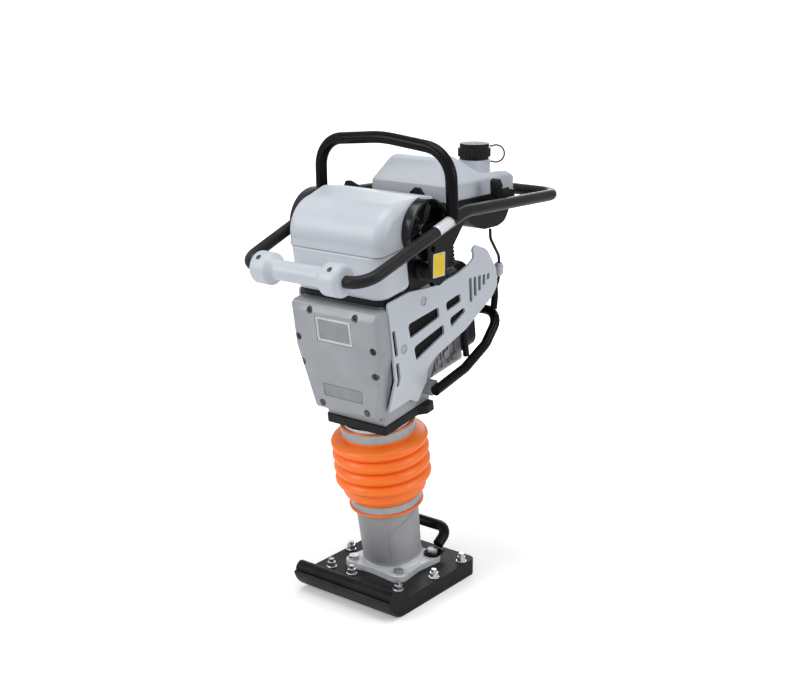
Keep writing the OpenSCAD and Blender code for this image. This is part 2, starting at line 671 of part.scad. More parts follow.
// Drive: involute gears, crank pin, connecting rod and clutch
pressure = 25;
backlash = 0.3;
function inv(a) = tan(a) * 180 / PI - a;
function tooth_half(r, z) = let (rp = tooth_module * z / 2, rb = rp * cos(pressure))
    90 / z - backlash / rp * 90 / PI + inv(pressure) - (r > rb ? inv(acos(rb / r)) : 0);
module gear_outline(z, first) {
    rp = tooth_module * z / 2;
    flank = [for (k = [-1.25, -0.5, 0, 0.45, 0.85]) rp + k * tooth_module];
    polygon([for (i = [0 : z - 1]) let (mid = first + 360 * i / z) each concat(
        [for (r = flank) let (a = mid - tooth_half(r, z)) r * [cos(a), sin(a)]],
        [for (k = [4 : -1 : 0]) let (r = flank[k], a = mid + tooth_half(r, z)) r * [cos(a), sin(a)]])]);
}
module crank_gear() {
    color("slategray") leaned() translate([0, 0, gear_z]) {
        difference() {
            along_y(gear_front, gear_front + gear_w) gear_outline(gear_teeth, 90 + 180 / gear_teeth);
            for (a = [30 : 60 : 330]) rotate([0, a, 0]) translate([0, 0, 44])
                rod_y(20, gear_front - 1, gear_front + gear_w + 1);
        }
        rod_y(gear_shaft_d, gear_front + gear_w, web_rear - 1);
        rod_y(gear_shaft_d + 10, gear_front + gear_w, web_front);
        translate([0, 0, -crank_r]) {
            rod_y(crank_pin_d, -conrod_w / 2 - 1, gear_front);
            rod_y(crank_pin_d + 8, conrod_w / 2 + gap, gear_front);
        }
    }
}
module ring_y(od, id, y0, y1) {
    difference() {
        rod_y(od, y0, y1);
        rod_y(id, y0 - 1, y1 + 1);
    }
}
module crank_bearing() {
    color("lightgray") leaned() translate([0, 0, gear_z])
        ring_y(bearing_od, gear_shaft_d + 2 * fit, web_front + gap, web_rear - 1);
}
module conrod() {
    color("gray") leaned() difference() {
        along_y(-conrod_w / 2, conrod_w / 2) {
            translate([0, gear_z - crank_r]) circle(r = big_end_r);
            translate([0, wrist_z]) circle(r = small_end_r);
            translate([0, wrist_z]) polygon([[-small_end_r + 4, 0], [small_end_r - 4, 0],
                [big_end_r - 6, conrod_l], [-big_end_r + 6, conrod_l]]);
        }
        translate([0, 0, gear_z - crank_r]) rod_y(crank_pin_d + 2 * fit, -conrod_w, conrod_w);
        translate([0, 0, wrist_z]) rod_y(wrist_d + 2 * seat, -conrod_w, conrod_w);
    }
}
module wrist_pin() {
    color("lightsteelblue") leaned() translate([0, 0, wrist_z]) rod_y(wrist_d, -conrod_w / 2, conrod_w / 2);
}
drum_front = web_rear + 2;
drum_rear = case_rear - 2;
module clutch_drum() {
    color("dimgray") leaned() translate([0, 0, shaft_z]) {
        along_y(gear_front - 2, web_front - gap) gear_outline(pinion_teeth, 270);
        rod_y(shaft_d, web_front - gap, drum_front);
        difference() {
            rod_y(drum_d, drum_front, drum_rear);
            rod_y(drum_d - 10, drum_front + 5, drum_rear + 1);
        }
    }
}
module pinion_bearing() {
    color("lightgray") leaned() translate([0, 0, shaft_z])
        ring_y(pinion_bearing_od, shaft_d + 2 * fit, web_front + gap, web_rear);
}
// Two clutch shoes on the engine shaft, inside the drum
module clutch_shoes() {
    color("saddlebrown") leaned() translate([0, 0, shaft_z]) difference() {
        rod_y(drum_d - 14, drum_front + 7, drum_rear - 1);
        rod_y(shaft_d + 2 * seat, drum_front, case_rear);
        for (a = [0, 90]) rotate([0, a, 0])
            translate([-2, drum_front, -drum_d]) cube([4, case_rear, 2 * drum_d]);
    }
}
// Engine shaft with the fan on its rear end
module engine_shaft() {
    color("lightsteelblue") leaned() translate([0, 0, shaft_z]) {
        rod_y(shaft_d, drum_front + 6, starter_y + 16);
        rod_y(starter_d - 50, fan_y + 3, fan_y + 8);
        for (k = [0 : 11]) rotate([0, 30 * k, 0]) translate([40, fan_y + 7.9, -1.5]) cube([28, 14, 3]);
    }
}

// Engine
module engine_block() {
    low = shaft_z - sump_drop;
    side = shaft_z - 14;
    color([0.75, 0.75, 0.76]) leaned() difference() {
        union() {
            translate([0, 0, shaft_z]) rod_y(drum_d + 40, case_rear, block_y + 1);
            along_y(block_y, fan_y) polygon(rounded([
                [-sump_half, low, 14], [sump_half, low, 14], [sump_half, side, 12], [50, barrel_z, 0],
                [-50, barrel_z, 0], [-sump_half, side, 12]]));
            along_y(block_y + 2, fan_y - 2)
                translate([-sump_half - 5, shaft_z - 44]) square([2 * sump_half + 10, 7]);
            both_sides() {
                for (k = [0 : 3]) translate([sump_half - 1, block_y + 5 + 25 * k, low + 16]) cube([5, 5, 50]);
                translate([0, block_y + 42.5, low + 44]) rod_x(18, sump_half - 2, sump_half + 9);
                translate([0, block_y + 17.5, low + 34]) rod_x(14, sump_half - 2, sump_half + 6);
                translate([sump_half - 2, block_y + 67.5, low + 28]) rotate([0, 90, 0])
                    cylinder(d = 17, h = 14, $fn = 6);
            }
        }
        translate([0, 0, shaft_z]) rod_y(shaft_d + 2 * fit, case_rear - 1, fan_y + 1);
    }
}
module cylinder_barrel() {
    color([0.3, 0.3, 0.31]) leaned() translate([0, barrel_y, barrel_z]) {
        cylinder(d = 62, h = head_z - barrel_z);
        for (k = [0 : fin_count - 1]) translate([0, 0, 2 + k * fin_pitch]) linear_extrude(fin_t)
            polygon(rounded([[-46, -40, 12], [46, -40, 12], [46, 40, 12], [-46, 40, 12]], 4));
    }
}
module cylinder_head() {
    color([0.35, 0.35, 0.36]) leaned() translate([0, barrel_y, head_z]) difference() {
        union() {
            linear_extrude(14) polygon(rounded([[-44, -38, 8], [44, -38, 8], [44, 38, 8], [-44, 38, 8]], 4));
            translate([0, 0, 14]) linear_extrude(12)
                polygon(rounded([[-34, -30, 12], [20, -30, 12], [20, 30, 12], [-34, 30, 12]], 4));
        }
        translate([34, 0, 8]) cylinder(d = 12 + 2 * seat, h = 20);
    }
}
module spark_plug() {
    color("black") leaned() translate([34, barrel_y, head_z + 8]) {
        cylinder(d = 12, h = 6);
        translate([0, 0, 6]) cylinder(d = 18, h = 5, $fn = 6);
        translate([0, 0, 11]) cylinder(d = 16, h = 16);
    }
}
module carburettor() {
    color([0.62, 0.62, 0.63]) leaned() {
        translate([0, carb_y, carb_z]) rod_x(34, 46.3, carb_x + 18);
        translate([carb_x, carb_y, carb_z - 42]) cylinder(d = 36, h = 30);
        translate([carb_x, carb_y, carb_z - 46]) cylinder(d = 12, h = 8);
        translate([carb_x - 10, carb_y - 14, carb_z + 8]) cube([20, 28, 14]);
        translate([carb_x, carb_y - 6, line_z - 5.5]) cube([line_x + 4 - carb_x, 12, 11]);
    }
}
module choke_lever() {
    color("black") leaned() translate([carb_x + 18 + gap, carb_y, carb_z]) {
        rod_x(12, 0, 5);
        along_x(1, 4) polygon(rounded([[-4, -4, 3], [4, -4, 3], [5, -26, 4], [-5, -26, 4]], 4));
    }
}
// Ribbed hose from the carburettor up to an elbow on the back of the air cleaner's tray
hose_low = carb_z + 22.3;
hose_elbow = tray_z + 60;
module intake_hose() {
    ribs = 8;
    pitch = (hose_elbow - 16 - hose_low) / ribs;
    outer = [for (i = [0 : ribs - 1]) each [[18, i * pitch], [21, (i + 0.3) * pitch], [21, (i + 0.7) * pitch]]];
    color([0.14, 0.14, 0.15]) leaned() translate([carb_x, carb_y, 0]) difference() {
        union() {
            translate([0, 0, hose_low]) rotate_extrude()
                polygon(concat([[0, 0]], outer, [[18, ribs * pitch], [0, ribs * pitch]]));
            translate([0, 0, hose_elbow - 17]) cylinder(r = 18, h = 17);
            translate([0, 0, hose_elbow]) sphere(r = 18);
            translate([0, 0, hose_elbow]) rod_y(36, tray_back + 0.3 - carb_y, 0);
        }
        translate([0, 0, hose_low - 1]) cylinder(r = 13, h = hose_elbow - hose_low);
        translate([0, 0, hose_elbow]) rod_y(24, tray_back - 1 - carb_y, 0);
    }
}
module muffler() {
    color([0.45, 0.44, 0.42]) leaned() difference() {
        union() {
            translate([-104, barrel_y - 44, head_z - 66]) cube([42, 84, 72]);
            translate([0, barrel_y, head_z - 20]) rod_x(26, -62, -46.3);
        }
        for (k = [0 : 5]) translate([-105, barrel_y - 36 + 13 * k, head_z - 56]) cube([5, 6, 52]);
    }
}
function blower_outline(half, tall) =
    rounded([[-half, -tall, 30], [half, -tall, 30], [half, tall, 30], [-half, tall, 30]], 6);
module fan_housing() {
    half = starter_d / 2 - 1;
    tall = starter_d / 2 + 6;
    color([0.12, 0.12, 0.12]) leaned() translate([0, 0, shaft_z]) difference() {
        along_y(fan_y, starter_y)
            polygon(blower_outline(half, tall));
        rod_y(starter_d - 12, fan_y + 3, starter_y + 1);
        rod_y(shaft_d + 2 * gap, fan_y - 1, starter_y);
    }
}
// Recoil starter: a vented dome with a guide for the rope, which pulls out to the rear
rope_x = 44;
rope_z = shaft_z + 55;
rope_y = starter_y + starter_t + 6;
module recoil_starter() {
    color([0.12, 0.12, 0.12]) leaned() difference() {
        union() {
            translate([0, 0, shaft_z]) difference() {
                union() {
                    along_y(starter_y, starter_y + starter_t - 14)
                        polygon(blower_outline(starter_d / 2 - 2, starter_d / 2 + 5));
                    rod_y(starter_d - 36, starter_y, starter_y + starter_t);
                }
                rod_y(starter_d - 12, starter_y - 1, starter_y + starter_t - 22);
                for (k = [0 : 17]) rotate([0, 20 * k, 0]) translate([38, starter_y, -3])
                    cube([30, starter_t + 1, 6]);
            }
            translate([rope_x, 0, rope_z]) rod_y(26, starter_y + starter_t - 12, rope_y);
        }
        translate([rope_x, 0, rope_z]) rod_y(6, starter_y, rope_y + 1);
    }
}
module starter_rope() {
    color("white") leaned() translate([rope_x, 0, rope_z]) rod_y(4, rope_y - 30, rope_y + 8);
}
module starter_grip() {
    color("black") leaned() translate([rope_x, rope_y + 8.2, rope_z]) {
        rod_y(16, 0, 10);
        translate([0, 17, 0]) rod_x(17, -30, 30);
        translate([-10, 8, -6]) cube([20, 9, 12]);
    }
}

// Engine guard
module engine_guard() {
    color([0.1, 0.1, 0.1]) leaned() sweep(bent(guard_path, 40, 5), guard_d, 12);
}
// Posts that tie the guard to the engine and hold the rear ends of the shrouds
module guard_posts() {
    post_d = 16;
    post_x = shroud_half - shroud_wall - post_d / 2 - 0.5;
    strut_y = 194;
    color([0.1, 0.1, 0.1]) leaned() both_sides() {
        sweep([[post_x, 311, guard_low + 93.2], [post_x, 320, guard_low + 122], [post_x, 321, guard_low + 156],
            [post_x, 312, guard_low + 176], [post_x, 296, guard_low + 188]], post_d, 10);
        translate([post_x + 1, strut_y, guard_low + 26.5]) cylinder(d = 14, h = 92);
        translate([0, strut_y, guard_low + 80]) rod_x(10, sump_half + 5.2, post_x);
    }
}

// Side shrouds: a wall that follows the crankcase, cut to the outline of the moulding
shroud_bolt_d = 8;
shroud_bolts_at = [[48, up(0.9)], [-30, up(0.62)]];
shroud_outline = rounded([
    [-case_front, up(0.125), 3], [-case_front, case_top + 8, 8], [6, case_top + 8, 60], [92, case_top - 10, 50],
    [172, case_top - 10, 60], [212, case_top - 4, 40], [238, case_top + 6, 10], [229, case_top + 24, 7],
    [244, case_top + 31, 14], [284, case_top + 8, 40], [313, up(0.834), 30], [313, up(0.688), 22],
    [290, up(0.618), 24], [185, up(0.482), 80], [70, up(0.412), 30], [48, up(0.338), 16], [58, up(0.213), 16],
    [38, up(0.044), 12], [8, up(0.125), 20]]);
// Openings in a shroud, whose heights are shares of the crankcase's height
function slot(y0, y1, low0, low1, top0, top1) = rounded([
    [y0 + 4, up(low0), 4], [y1, up(low1), 5], [y1, up(top1), 5], [y0, up(top0), 8]], 4);
function vent(y, low, top, tilted) = rounded([
    [y, up(low), 4], [y + 10, up(low), 4], [y + 10 + tilted, up(top), 4], [y + tilted, up(top), 4]], 4);
shroud_slots = concat(
    [slot(-10, 96, 0.67, 0.706, 0.79, 0.79), slot(2, 108, 0.474, 0.551, 0.588, 0.632),
     slot(120, 175, 0.713, 0.728, 0.79, 0.798), slot(130, 186, 0.566, 0.625, 0.647, 0.669)],
    [for (k = [0 : 4]) vent(206 + 17 * k, 0.676 + 0.0257 * k, 0.875 - 0.011 * k, 4)],
    [vent(-60, 0.596, 0.805, -2), vent(-60, 0.346, 0.544, 0)]);
module shroud_band(outer) {
    foot = outer - (case_half - case_foot);
    inner = outer - shroud_wall;
    low_in = foot - shroud_wall;
    polygon(concat(
        rounded([[outer, case_top + 40, 0], [inner, case_top + 40, 0], [inner, shoulder_z, 24],
            [low_in, case_taper_z, 10], [low_in, case_base, 0], [foot, case_base, 0],
            [foot, case_taper_z, 10], [outer, shoulder_z, 24]])));
}
module shroud() {
    difference() {
        union() {
            intersection() {
                along_x(0, shroud_half + 1) polygon(shroud_outline);
                along_y(-case_front - 1, 330) shroud_band(shroud_half);
            }
            for (p = shroud_bolts_at) translate([0, p[0], p[1]])
                rod_x(22, case_half + 0.1, shroud_half - shroud_wall + 0.5);
        }
        for (s = shroud_slots) along_x(60, shroud_half + 2) polygon(s);
        for (p = shroud_bolts_at) translate([0, p[0], p[1]]) {
            rod_x(shroud_bolt_d + 2 * seat, case_half - 1, shroud_half + 1);
            rod_x(20, shroud_half - 2.5, shroud_half + 1);
        }
    }
}
module left_shroud() color([0.86, 0.87, 0.88]) leaned() shroud();
module right_shroud() color([0.86, 0.87, 0.88]) leaned() mirror([1, 0, 0]) shroud();
module shroud_bolts() {
    color("gray") leaned() both_sides() for (p = shroud_bolts_at) translate([0, p[0], p[1]]) {
        rod_x(shroud_bolt_d, case_half - 7, shroud_half - 2.5);
        rod_x(16, shroud_half - 2.5, shroud_half - 0.5);
    }
}

// Carrier plate on the crankcase, with ears for the rubber mounts
module carrier_plate() {
    ear = ear_x;
    color([0.12, 0.12, 0.12]) leaned() difference() {
        union() {
            translate([0, 0, case_top]) linear_extrude(12) polygon(rounded([
                [-ear, -20, 6], [-cleaner_half + 16, -case_front - 8, 20],
                [cleaner_half - 16, -case_front - 8, 20], [ear, -20, 6], [ear, case_rear + 6, 6],
                [-ear, case_rear + 6, 6]]));
            both_sides() along_x(ear - ear_t, ear) polygon(rounded([
                [14, case_top + 11, 0], [90, case_top + 11, 0], [mount_y + 26, mount_z + 18, 16],
                [mount_y - 20, mount_z + 24, 14], [14, mount_z + 8, 8]]));
        }
        translate([0, mount_y, mount_z]) rod_x(mount_bolt_d + 2 * seat, -200, 200);
    }
}

// Air cleaner: tray, hood over the round filter housing, dished end caps and the filter inside
// The tray's rear part passes inside the carrier's ears and the end caps
tray_clear = 4;
tray_in = min(ear_x - ear_t, cleaner_half - end_cap_dish - 2.9) - tray_clear;
cap_r = filter_r - cleaner_wall - 3;
module tray_plan(half, front) polygon(rounded([
    [-half, front, 34], [half, front, 34], [half, 6, 8], [tray_in, 10, 6],
    [tray_in, tray_back, 8], [-tray_in, tray_back, 8], [-tray_in, 10, 6], [-half, 6, 8]]));
module cleaner_tray() {
    front = hood_front - 4;
    low = case_top + 12;
    half = cleaner_half - 2;
    in = tray_in - cleaner_wall;
    color([0.86, 0.87, 0.88]) leaned() difference() {
        intersection() {
            translate([0, 0, low]) linear_extrude(seam_z - low) tray_plan(half, front);
            along_x(-half, half) polygon(rounded([
                [front, low, 20], [tray_back + 1, low, 0], [tray_back + 1, seam_z + 1, 0],
                [front, seam_z + 1, 0]]));
            along_y(front - 1, tray_back + 1) polygon(rounded([
                [-half, low, 16], [half, low, 16], [half, seam_z + 1, 0], [-half, seam_z + 1, 0]]));
        }
        translate([0, 0, tray_z]) linear_extrude(seam_z) polygon(rounded([
            [-in, front + cleaner_wall, 20], [in, front + cleaner_wall, 20],
            [in, tray_back - cleaner_wall, 6], [-in, tray_back - cleaner_wall, 6]]));
    }
}
// The hood, shrunk by an inset: its side view, cut to its plan and to its front view
module hood(inset, ends) {
    half = cleaner_half - ends;
    low = seam_z - (inset > 0 ? 1 : 0);
    intersection() {
        along_x(-half, half) polygon(concat(
            rounded([[filter_y + filter_r - inset, low, 0], [hood_front + inset, low, 0],
                [hood_front + 4 + inset, hood_top - inset, 72 - inset], [filter_y, hood_top - inset, 0]], 12),
            [for (k = [1 : 11]) let (a = 90 - 8.18 * k)
                [filter_y, filter_z] + (filter_r - inset) * [cos(a), sin(a)]]));
        translate([0, 0, low]) linear_extrude(hood_top) polygon(rounded([
            [-half, hood_front + inset, 34], [half, hood_front + inset, 34],
            [half, 300, 0], [-half, 300, 0]], 8));
        along_y(-200, 300) polygon(rounded([
            [-half, low, 0], [half, low, 0], [half - 1, hood_top, 12], [-half + 1, hood_top, 12]]));
    }
}
module cleaner_cover() {
    color([0.86, 0.87, 0.88]) leaned() difference() {
        hood(0, 0);
        hood(cleaner_wall, 8);
        translate([0, filter_y, filter_z]) both_sides()
            rod_x(2 * cap_r, cleaner_half - end_cap_dish - 3, cleaner_half + 1);
    }
}
module cleaner_caps() {
    r = cap_r - seat;
    color([0.1, 0.1, 0.1]) leaned() translate([0, filter_y, filter_z]) both_sides() {
        difference() {
            rod_x(2 * r, cleaner_half - end_cap_dish - 2.9, cleaner_half - 1);
            rod_x(2 * r - 14, cleaner_half - end_cap_dish + 2, cleaner_half);
            for (k = [0 : 5]) rotate([60 * k, 0, 0]) translate([0, 0, 34])
                rod_x(14, cleaner_half - end_cap_dish, cleaner_half);
        }
        rod_x(44, tray_in - cleaner_wall - 1.8, cleaner_half - end_cap_dish - 2);
    }
}
module filter_element() {
    half = tray_in - cleaner_wall - 2;
    color("khaki") leaned() translate([0, filter_y, filter_z]) difference() {
        rod_x(2 * filter_r - 40, -half, half);
        rod_x(28, -half - 1, half + 1);
    }
}

// Rubber mounts between the carrier's ears and the handle's brackets
module rubber_mounts() {
    color([0.05, 0.05, 0.05]) on_handle() both_sides() difference() {
        union() {
            rod_x(mount_d, mount_x, mount_x + 10);
            rod_x(mount_d - 8, mount_x + 9, bracket_x - 9);
            rod_x(mount_d, bracket_x - 10, bracket_x - 0.3);
        }
        rod_x(mount_bolt_d + 2 * seat, mount_x - 1, bracket_x + 1);
    }
}
module mount_bolts() {
    color("silver") on_handle() both_sides() {
        rod_x(mount_bolt_d, ear_x - ear_t - 2, bracket_x + bracket_t - 0.3);
        rod_x(1.6 * mount_bolt_d, ear_x - ear_t - 2, ear_x - ear_t - 0.3);
    }
}

// Handle
module handle_frame() {
    color([0.1, 0.1, 0.1]) on_handle() {
        sweep(bent(handle_path, handle_bends), tube_d, 16);
        sweep(bent(hoop_path, hoop_bends), tube_d, 16);
    }
}
throttle_y = 238;
throttle_z = grip_rise + 24;
throttle_pin_d = 8;
throttle_x = handle_half - tube_d / 2 - 0.3 - 14;
module handle_brackets() {
    strap = 30;
    rim = 12;
    color([0.12, 0.12, 0.12]) on_handle() {
        both_sides() along_x(bracket_x, bracket_x + bracket_t) difference() {
            polygon(rounded([
                [knee[0] + 40, knee[1] + 2, 5], [knee[0], knee[1] - 3, 20], [-37, 65, 12], [-24, -6, 16],
                [-4, -30, 18], [22, -18, 16], [38, 36, 50]]));
            circle(d = mount_bolt_d + 2 * gap);
            translate([-20, 52]) circle(r = 7);
        }
        for (y = [tray_front + 4, tank_back - strap]) translate([-bracket_x, y, tank_z - tray_drop])
            cube([2 * bracket_x, strap, strap_t]);
        translate([-tank_half - 4, tray_front - 2, tank_z - tray_drop + strap_t - 0.1]) difference() {
            cube([2 * tank_half + 8, tank_back - tray_front + 4, tray_drop - strap_t - 0.2]);
            translate([rim, rim, 5])
                cube([2 * tank_half + 8 - 2 * rim, tank_back - tray_front + 4 - 2 * rim, tray_drop]);
        }
        translate([tank_half + 3, throttle_y - 20, tank_z - tray_drop])
            cube([bracket_x - tank_half - 3, tank_back - throttle_y + 20, strap_t]);
        translate([throttle_x, throttle_y - 12, grip_rise + 2]) cube([14, 24, 34]);
        translate([0, throttle_y, throttle_z]) rod_x(throttle_pin_d, throttle_x - 20, throttle_x + 1);
    }
}
module roller_shaft() {
    color("lightgray") on_handle() translate([0, -roller_front, roller_rise])
        rod_x(tube_d - 1, -roller_end + gap, roller_end - gap);
}
module guide_roller() {
    bore = tube_d - 1 + 2 * fit;
    hub = 46;
    color([0.9, 0.91, 0.92]) on_handle() translate([0, -roller_front, roller_rise]) rotate([0, 90, 0])
        rotate_extrude() polygon(rounded([
            [bore / 2, -roller_half, 0], [roller_d / 2, -roller_half, 9],
            [roller_d / 2, -roller_half + hub - 6, 8],
            [roller_waist / 2, -roller_half + hub + 8, 8], [roller_waist / 2, roller_half - hub - 8, 8],
            [roller_d / 2, roller_half - hub + 6, 8], [roller_d / 2, roller_half, 9],
            [bore / 2, roller_half, 0]]));
}

// Fuel tank with its filler tower
module fuel_tank() {
    top = tank_z + tank_h;
    deck = tank_z + 46;
    wall = tank_z + 34;
    tower = neck_d / 2 + 4;
    color([0.87, 0.88, 0.9]) on_handle() {
        intersection() {
            along_x(-tank_half, tank_half) polygon(rounded([
                [tank_front, tank_z, 3], [tank_front, wall, 12], [tank_front + 16, top, 16],
                [tank_front + 76, top, 36], [tank_front + 138, deck, 36], [tank_back - 22, deck - 4, 14],
                [tank_back, wall - 6, 10], [tank_back, tank_z, 3]]));
            along_y(tank_front - 1, tank_back + 1) polygon(rounded([
                [-tank_half, tank_z, 0], [-tank_half, wall, 12], [-tank_half + 44, top, 20],
                [tank_half - 44, top, 20], [tank_half, wall, 12], [tank_half, tank_z, 0]]));
        }
        translate([filler[0], filler[1], tank_z + 5]) linear_extrude(cap_z - tank_z - 5.5)
            polygon(rounded([[-tower, -tower, 14], [tower, -tower, 14], [tower, tower, 14],
                [-tower, tower, 14]]));
        translate([filler[0], filler[1], tank_z + 20]) cylinder(d = neck_d, h = cap_z - tank_z - 5);
    }
}
// Deep well under the tank, with the tap's spigot for the fuel line
well = [[186, 0, 0], [198, -27, 14], [226, -49, 30], [266, -well_h, 40], [318, -well_h, 40], [346, -53, 30],
    [360, -33, 14], [364, 0, 0]];
module tank_well() {
    color([0.1, 0.1, 0.1]) on_handle() translate([0, 0, well_z]) difference() {
        along_x(-44, tank_half - 7) polygon(rounded(well));
        translate([-tank_half, tank_back - 31, -strap_t + 0.1]) cube([2 * tank_half, 60, 10]);
    }
}
// Tank cap with a scalloped rim
module tank_cap() {
    color([0.08, 0.08, 0.08]) on_handle() translate([filler[0], filler[1], cap_z]) difference() {
        union() {
            cylinder(d = cap_d - 8, h = 34);
            translate([0, 0, 6]) linear_extrude(18) polygon([
                for (k = [0 : 143]) (cap_d / 2 - 1 + cos(60 * k)) * [cos(2.5 * k), sin(2.5 * k)]]);
        }
        translate([0, 0, -1]) cylinder(d = neck_d + 2 * gap, h = 17);
    }
}
module throttle_lever() {
    color([0.08, 0.08, 0.08]) on_handle() translate([0, throttle_y, throttle_z])
        along_x(throttle_x - 18, throttle_x - gap) difference() {
            polygon(rounded([[-11, -11, 10], [11, -11, 10], [9, 16, 4], [-2, 30, 4], [-15, 26, 5]], 4));
            circle(d = throttle_pin_d + 2 * fit);
        }
}
module fuel_line() {
    color([0.08, 0.08, 0.08]) {
        sweep(bent(line_path, 4 * hose_d, 4), hose_d, 8);
        translate(fuel_filter) cylinder(d = 22, h = fuel_filter_l);
    }
}

wear_plate();
shoe_core();
shoe_bolts();
leg_casting();
flange_bolts();
carry_bar();
spring_cylinder();
cylinder_cap();
lower_spring();
upper_spring();
bellows();
lower_clamp();
upper_clamp();
guide_cylinder();
piston_rod();
base_plate();
crankcase();
front_cover();
cover_bolts();
crank_gear();
crank_bearing();
conrod();
wrist_pin();
clutch_drum();
pinion_bearing();
clutch_shoes();
engine_shaft();
engine_block();
cylinder_barrel();
cylinder_head();
spark_plug();
carburettor();
choke_lever();
intake_hose();
muffler();
fan_housing();
recoil_starter();
starter_rope();
starter_grip();
engine_guard();
guard_posts();
left_shroud();
right_shroud();
shroud_bolts();
carrier_plate();
cleaner_tray();
cleaner_cover();
cleaner_caps();
filter_element();
rubber_mounts();
mount_bolts();
handle_frame();
handle_brackets();
roller_shaft();
guide_roller();
fuel_tank();
tank_cap();
tank_well();
throttle_lever();
fuel_line();
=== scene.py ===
import json
import math
import bmesh
import bpy
import numpy as np
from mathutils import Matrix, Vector

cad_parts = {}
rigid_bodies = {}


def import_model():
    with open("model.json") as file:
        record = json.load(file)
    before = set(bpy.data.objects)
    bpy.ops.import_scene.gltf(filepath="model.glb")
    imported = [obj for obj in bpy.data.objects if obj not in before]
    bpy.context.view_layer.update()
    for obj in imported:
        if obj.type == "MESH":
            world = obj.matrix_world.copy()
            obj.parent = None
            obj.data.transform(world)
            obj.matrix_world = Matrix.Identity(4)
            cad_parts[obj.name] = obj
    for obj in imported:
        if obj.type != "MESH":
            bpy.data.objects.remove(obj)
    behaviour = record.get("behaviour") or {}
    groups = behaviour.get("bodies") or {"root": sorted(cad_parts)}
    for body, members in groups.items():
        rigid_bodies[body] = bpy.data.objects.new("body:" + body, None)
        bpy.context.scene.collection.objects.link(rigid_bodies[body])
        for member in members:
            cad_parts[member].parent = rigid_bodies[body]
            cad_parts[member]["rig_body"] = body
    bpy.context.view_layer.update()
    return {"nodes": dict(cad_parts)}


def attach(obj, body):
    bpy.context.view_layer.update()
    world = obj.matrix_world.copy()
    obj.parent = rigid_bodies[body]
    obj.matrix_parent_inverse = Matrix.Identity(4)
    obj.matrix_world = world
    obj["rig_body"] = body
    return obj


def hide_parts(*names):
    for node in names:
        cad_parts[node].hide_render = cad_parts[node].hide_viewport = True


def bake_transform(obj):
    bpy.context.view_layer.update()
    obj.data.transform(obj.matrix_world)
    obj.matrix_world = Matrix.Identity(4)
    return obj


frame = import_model()
nodes = frame["nodes"]

# Studio. A white paper floor, four large soft lamps and an even world, with the camera where the photograph was
# taken: a little above the tank, off the front left corner. Only the camera sees the paper's glow.
scene = bpy.context.scene
scene.view_settings.view_transform = "Standard"
camera_data = bpy.data.cameras.new("camera")
camera_data.sensor_fit = "HORIZONTAL"
camera_data.sensor_width = 36.0
camera_data.lens = 58.96
camera_data.clip_end = 120.0
camera = bpy.data.objects.new("camera", camera_data)
camera_at, camera_aim = (1.667, -2.126, 1.309), Vector((-0.5918, 0.7575, -0.2756))
camera.location = camera_at
camera.rotation_euler = camera_aim.to_track_quat("-Z", "Y").to_euler()
scene.collection.objects.link(camera)
scene.camera = camera

paper = bpy.data.materials.new("studio_paper")
paper.use_nodes = True
tree = paper.node_tree
tree.nodes.clear()
out = tree.nodes.new("ShaderNodeOutputMaterial")
matt = tree.nodes.new("ShaderNodeBsdfDiffuse")
matt.inputs["Color"].default_value = (0.93, 0.93, 0.93, 1)
white = tree.nodes.new("ShaderNodeEmission")
distance = tree.nodes.new("ShaderNodeVectorMath")
distance.operation = "LENGTH"
glow = tree.nodes.new("ShaderNodeMapRange")
glow.inputs["From Min"].default_value = 0.3
glow.inputs["From Max"].default_value = 2.2
glow.inputs["To Min"].default_value = 0.22
glow.inputs["To Max"].default_value = 1.0
tree.links.new(tree.nodes.new("ShaderNodeTexCoord").outputs["Object"], distance.inputs[0])
tree.links.new(distance.outputs["Value"], glow.inputs["Value"])
tree.links.new(glow.outputs["Result"], white.inputs["Strength"])
both = tree.nodes.new("ShaderNodeAddShader")
rays = tree.nodes.new("ShaderNodeLightPath")
gate = tree.nodes.new("ShaderNodeMixShader")
tree.links.new(matt.outputs[0], both.inputs[0])
tree.links.new(white.outputs[0], both.inputs[1])
tree.links.new(rays.outputs["Is Camera Ray"], gate.inputs[0])
tree.links.new(matt.outputs[0], gate.inputs[1])
tree.links.new(both.outputs[0], gate.inputs[2])
tree.links.new(gate.outputs[0], out.inputs[0])
floor_half = 40
floor_mesh = bpy.data.meshes.new("floor")
floor_mesh.from_pydata([(-floor_half, -floor_half, 0), (floor_half, -floor_half, 0), (floor_half, floor_half, 0),
                        (-floor_half, floor_half, 0)], [], [(0, 1, 2, 3)])
floor_mesh.materials.append(paper)
floor = bpy.data.objects.new("floor", floor_mesh)
scene.collection.objects.link(floor)

world = bpy.data.worlds.new("studio")
world.use_nodes = True
tree = world.node_tree
tree.nodes.clear()
out = tree.nodes.new("ShaderNodeOutputWorld")
lit = tree.nodes.new("ShaderNodeBackground")
lit.inputs["Color"].default_value = (0.93, 0.96, 1.0, 1)
lit.inputs["Strength"].default_value = 0.5
plain = tree.nodes.new("ShaderNodeBackground")
plain.inputs["Color"].default_value = (1, 1, 1, 1)
plain.inputs["Strength"].default_value = 1.0
rays = tree.nodes.new("ShaderNodeLightPath")
gate = tree.nodes.new("ShaderNodeMixShader")
tree.links.new(rays.outputs["Is Camera Ray"], gate.inputs[0])
tree.links.new(lit.outputs[0], gate.inputs[1])
tree.links.new(plain.outputs[0], gate.inputs[2])
tree.links.new(gate.outputs[0], out.inputs[0])
scene.world = world


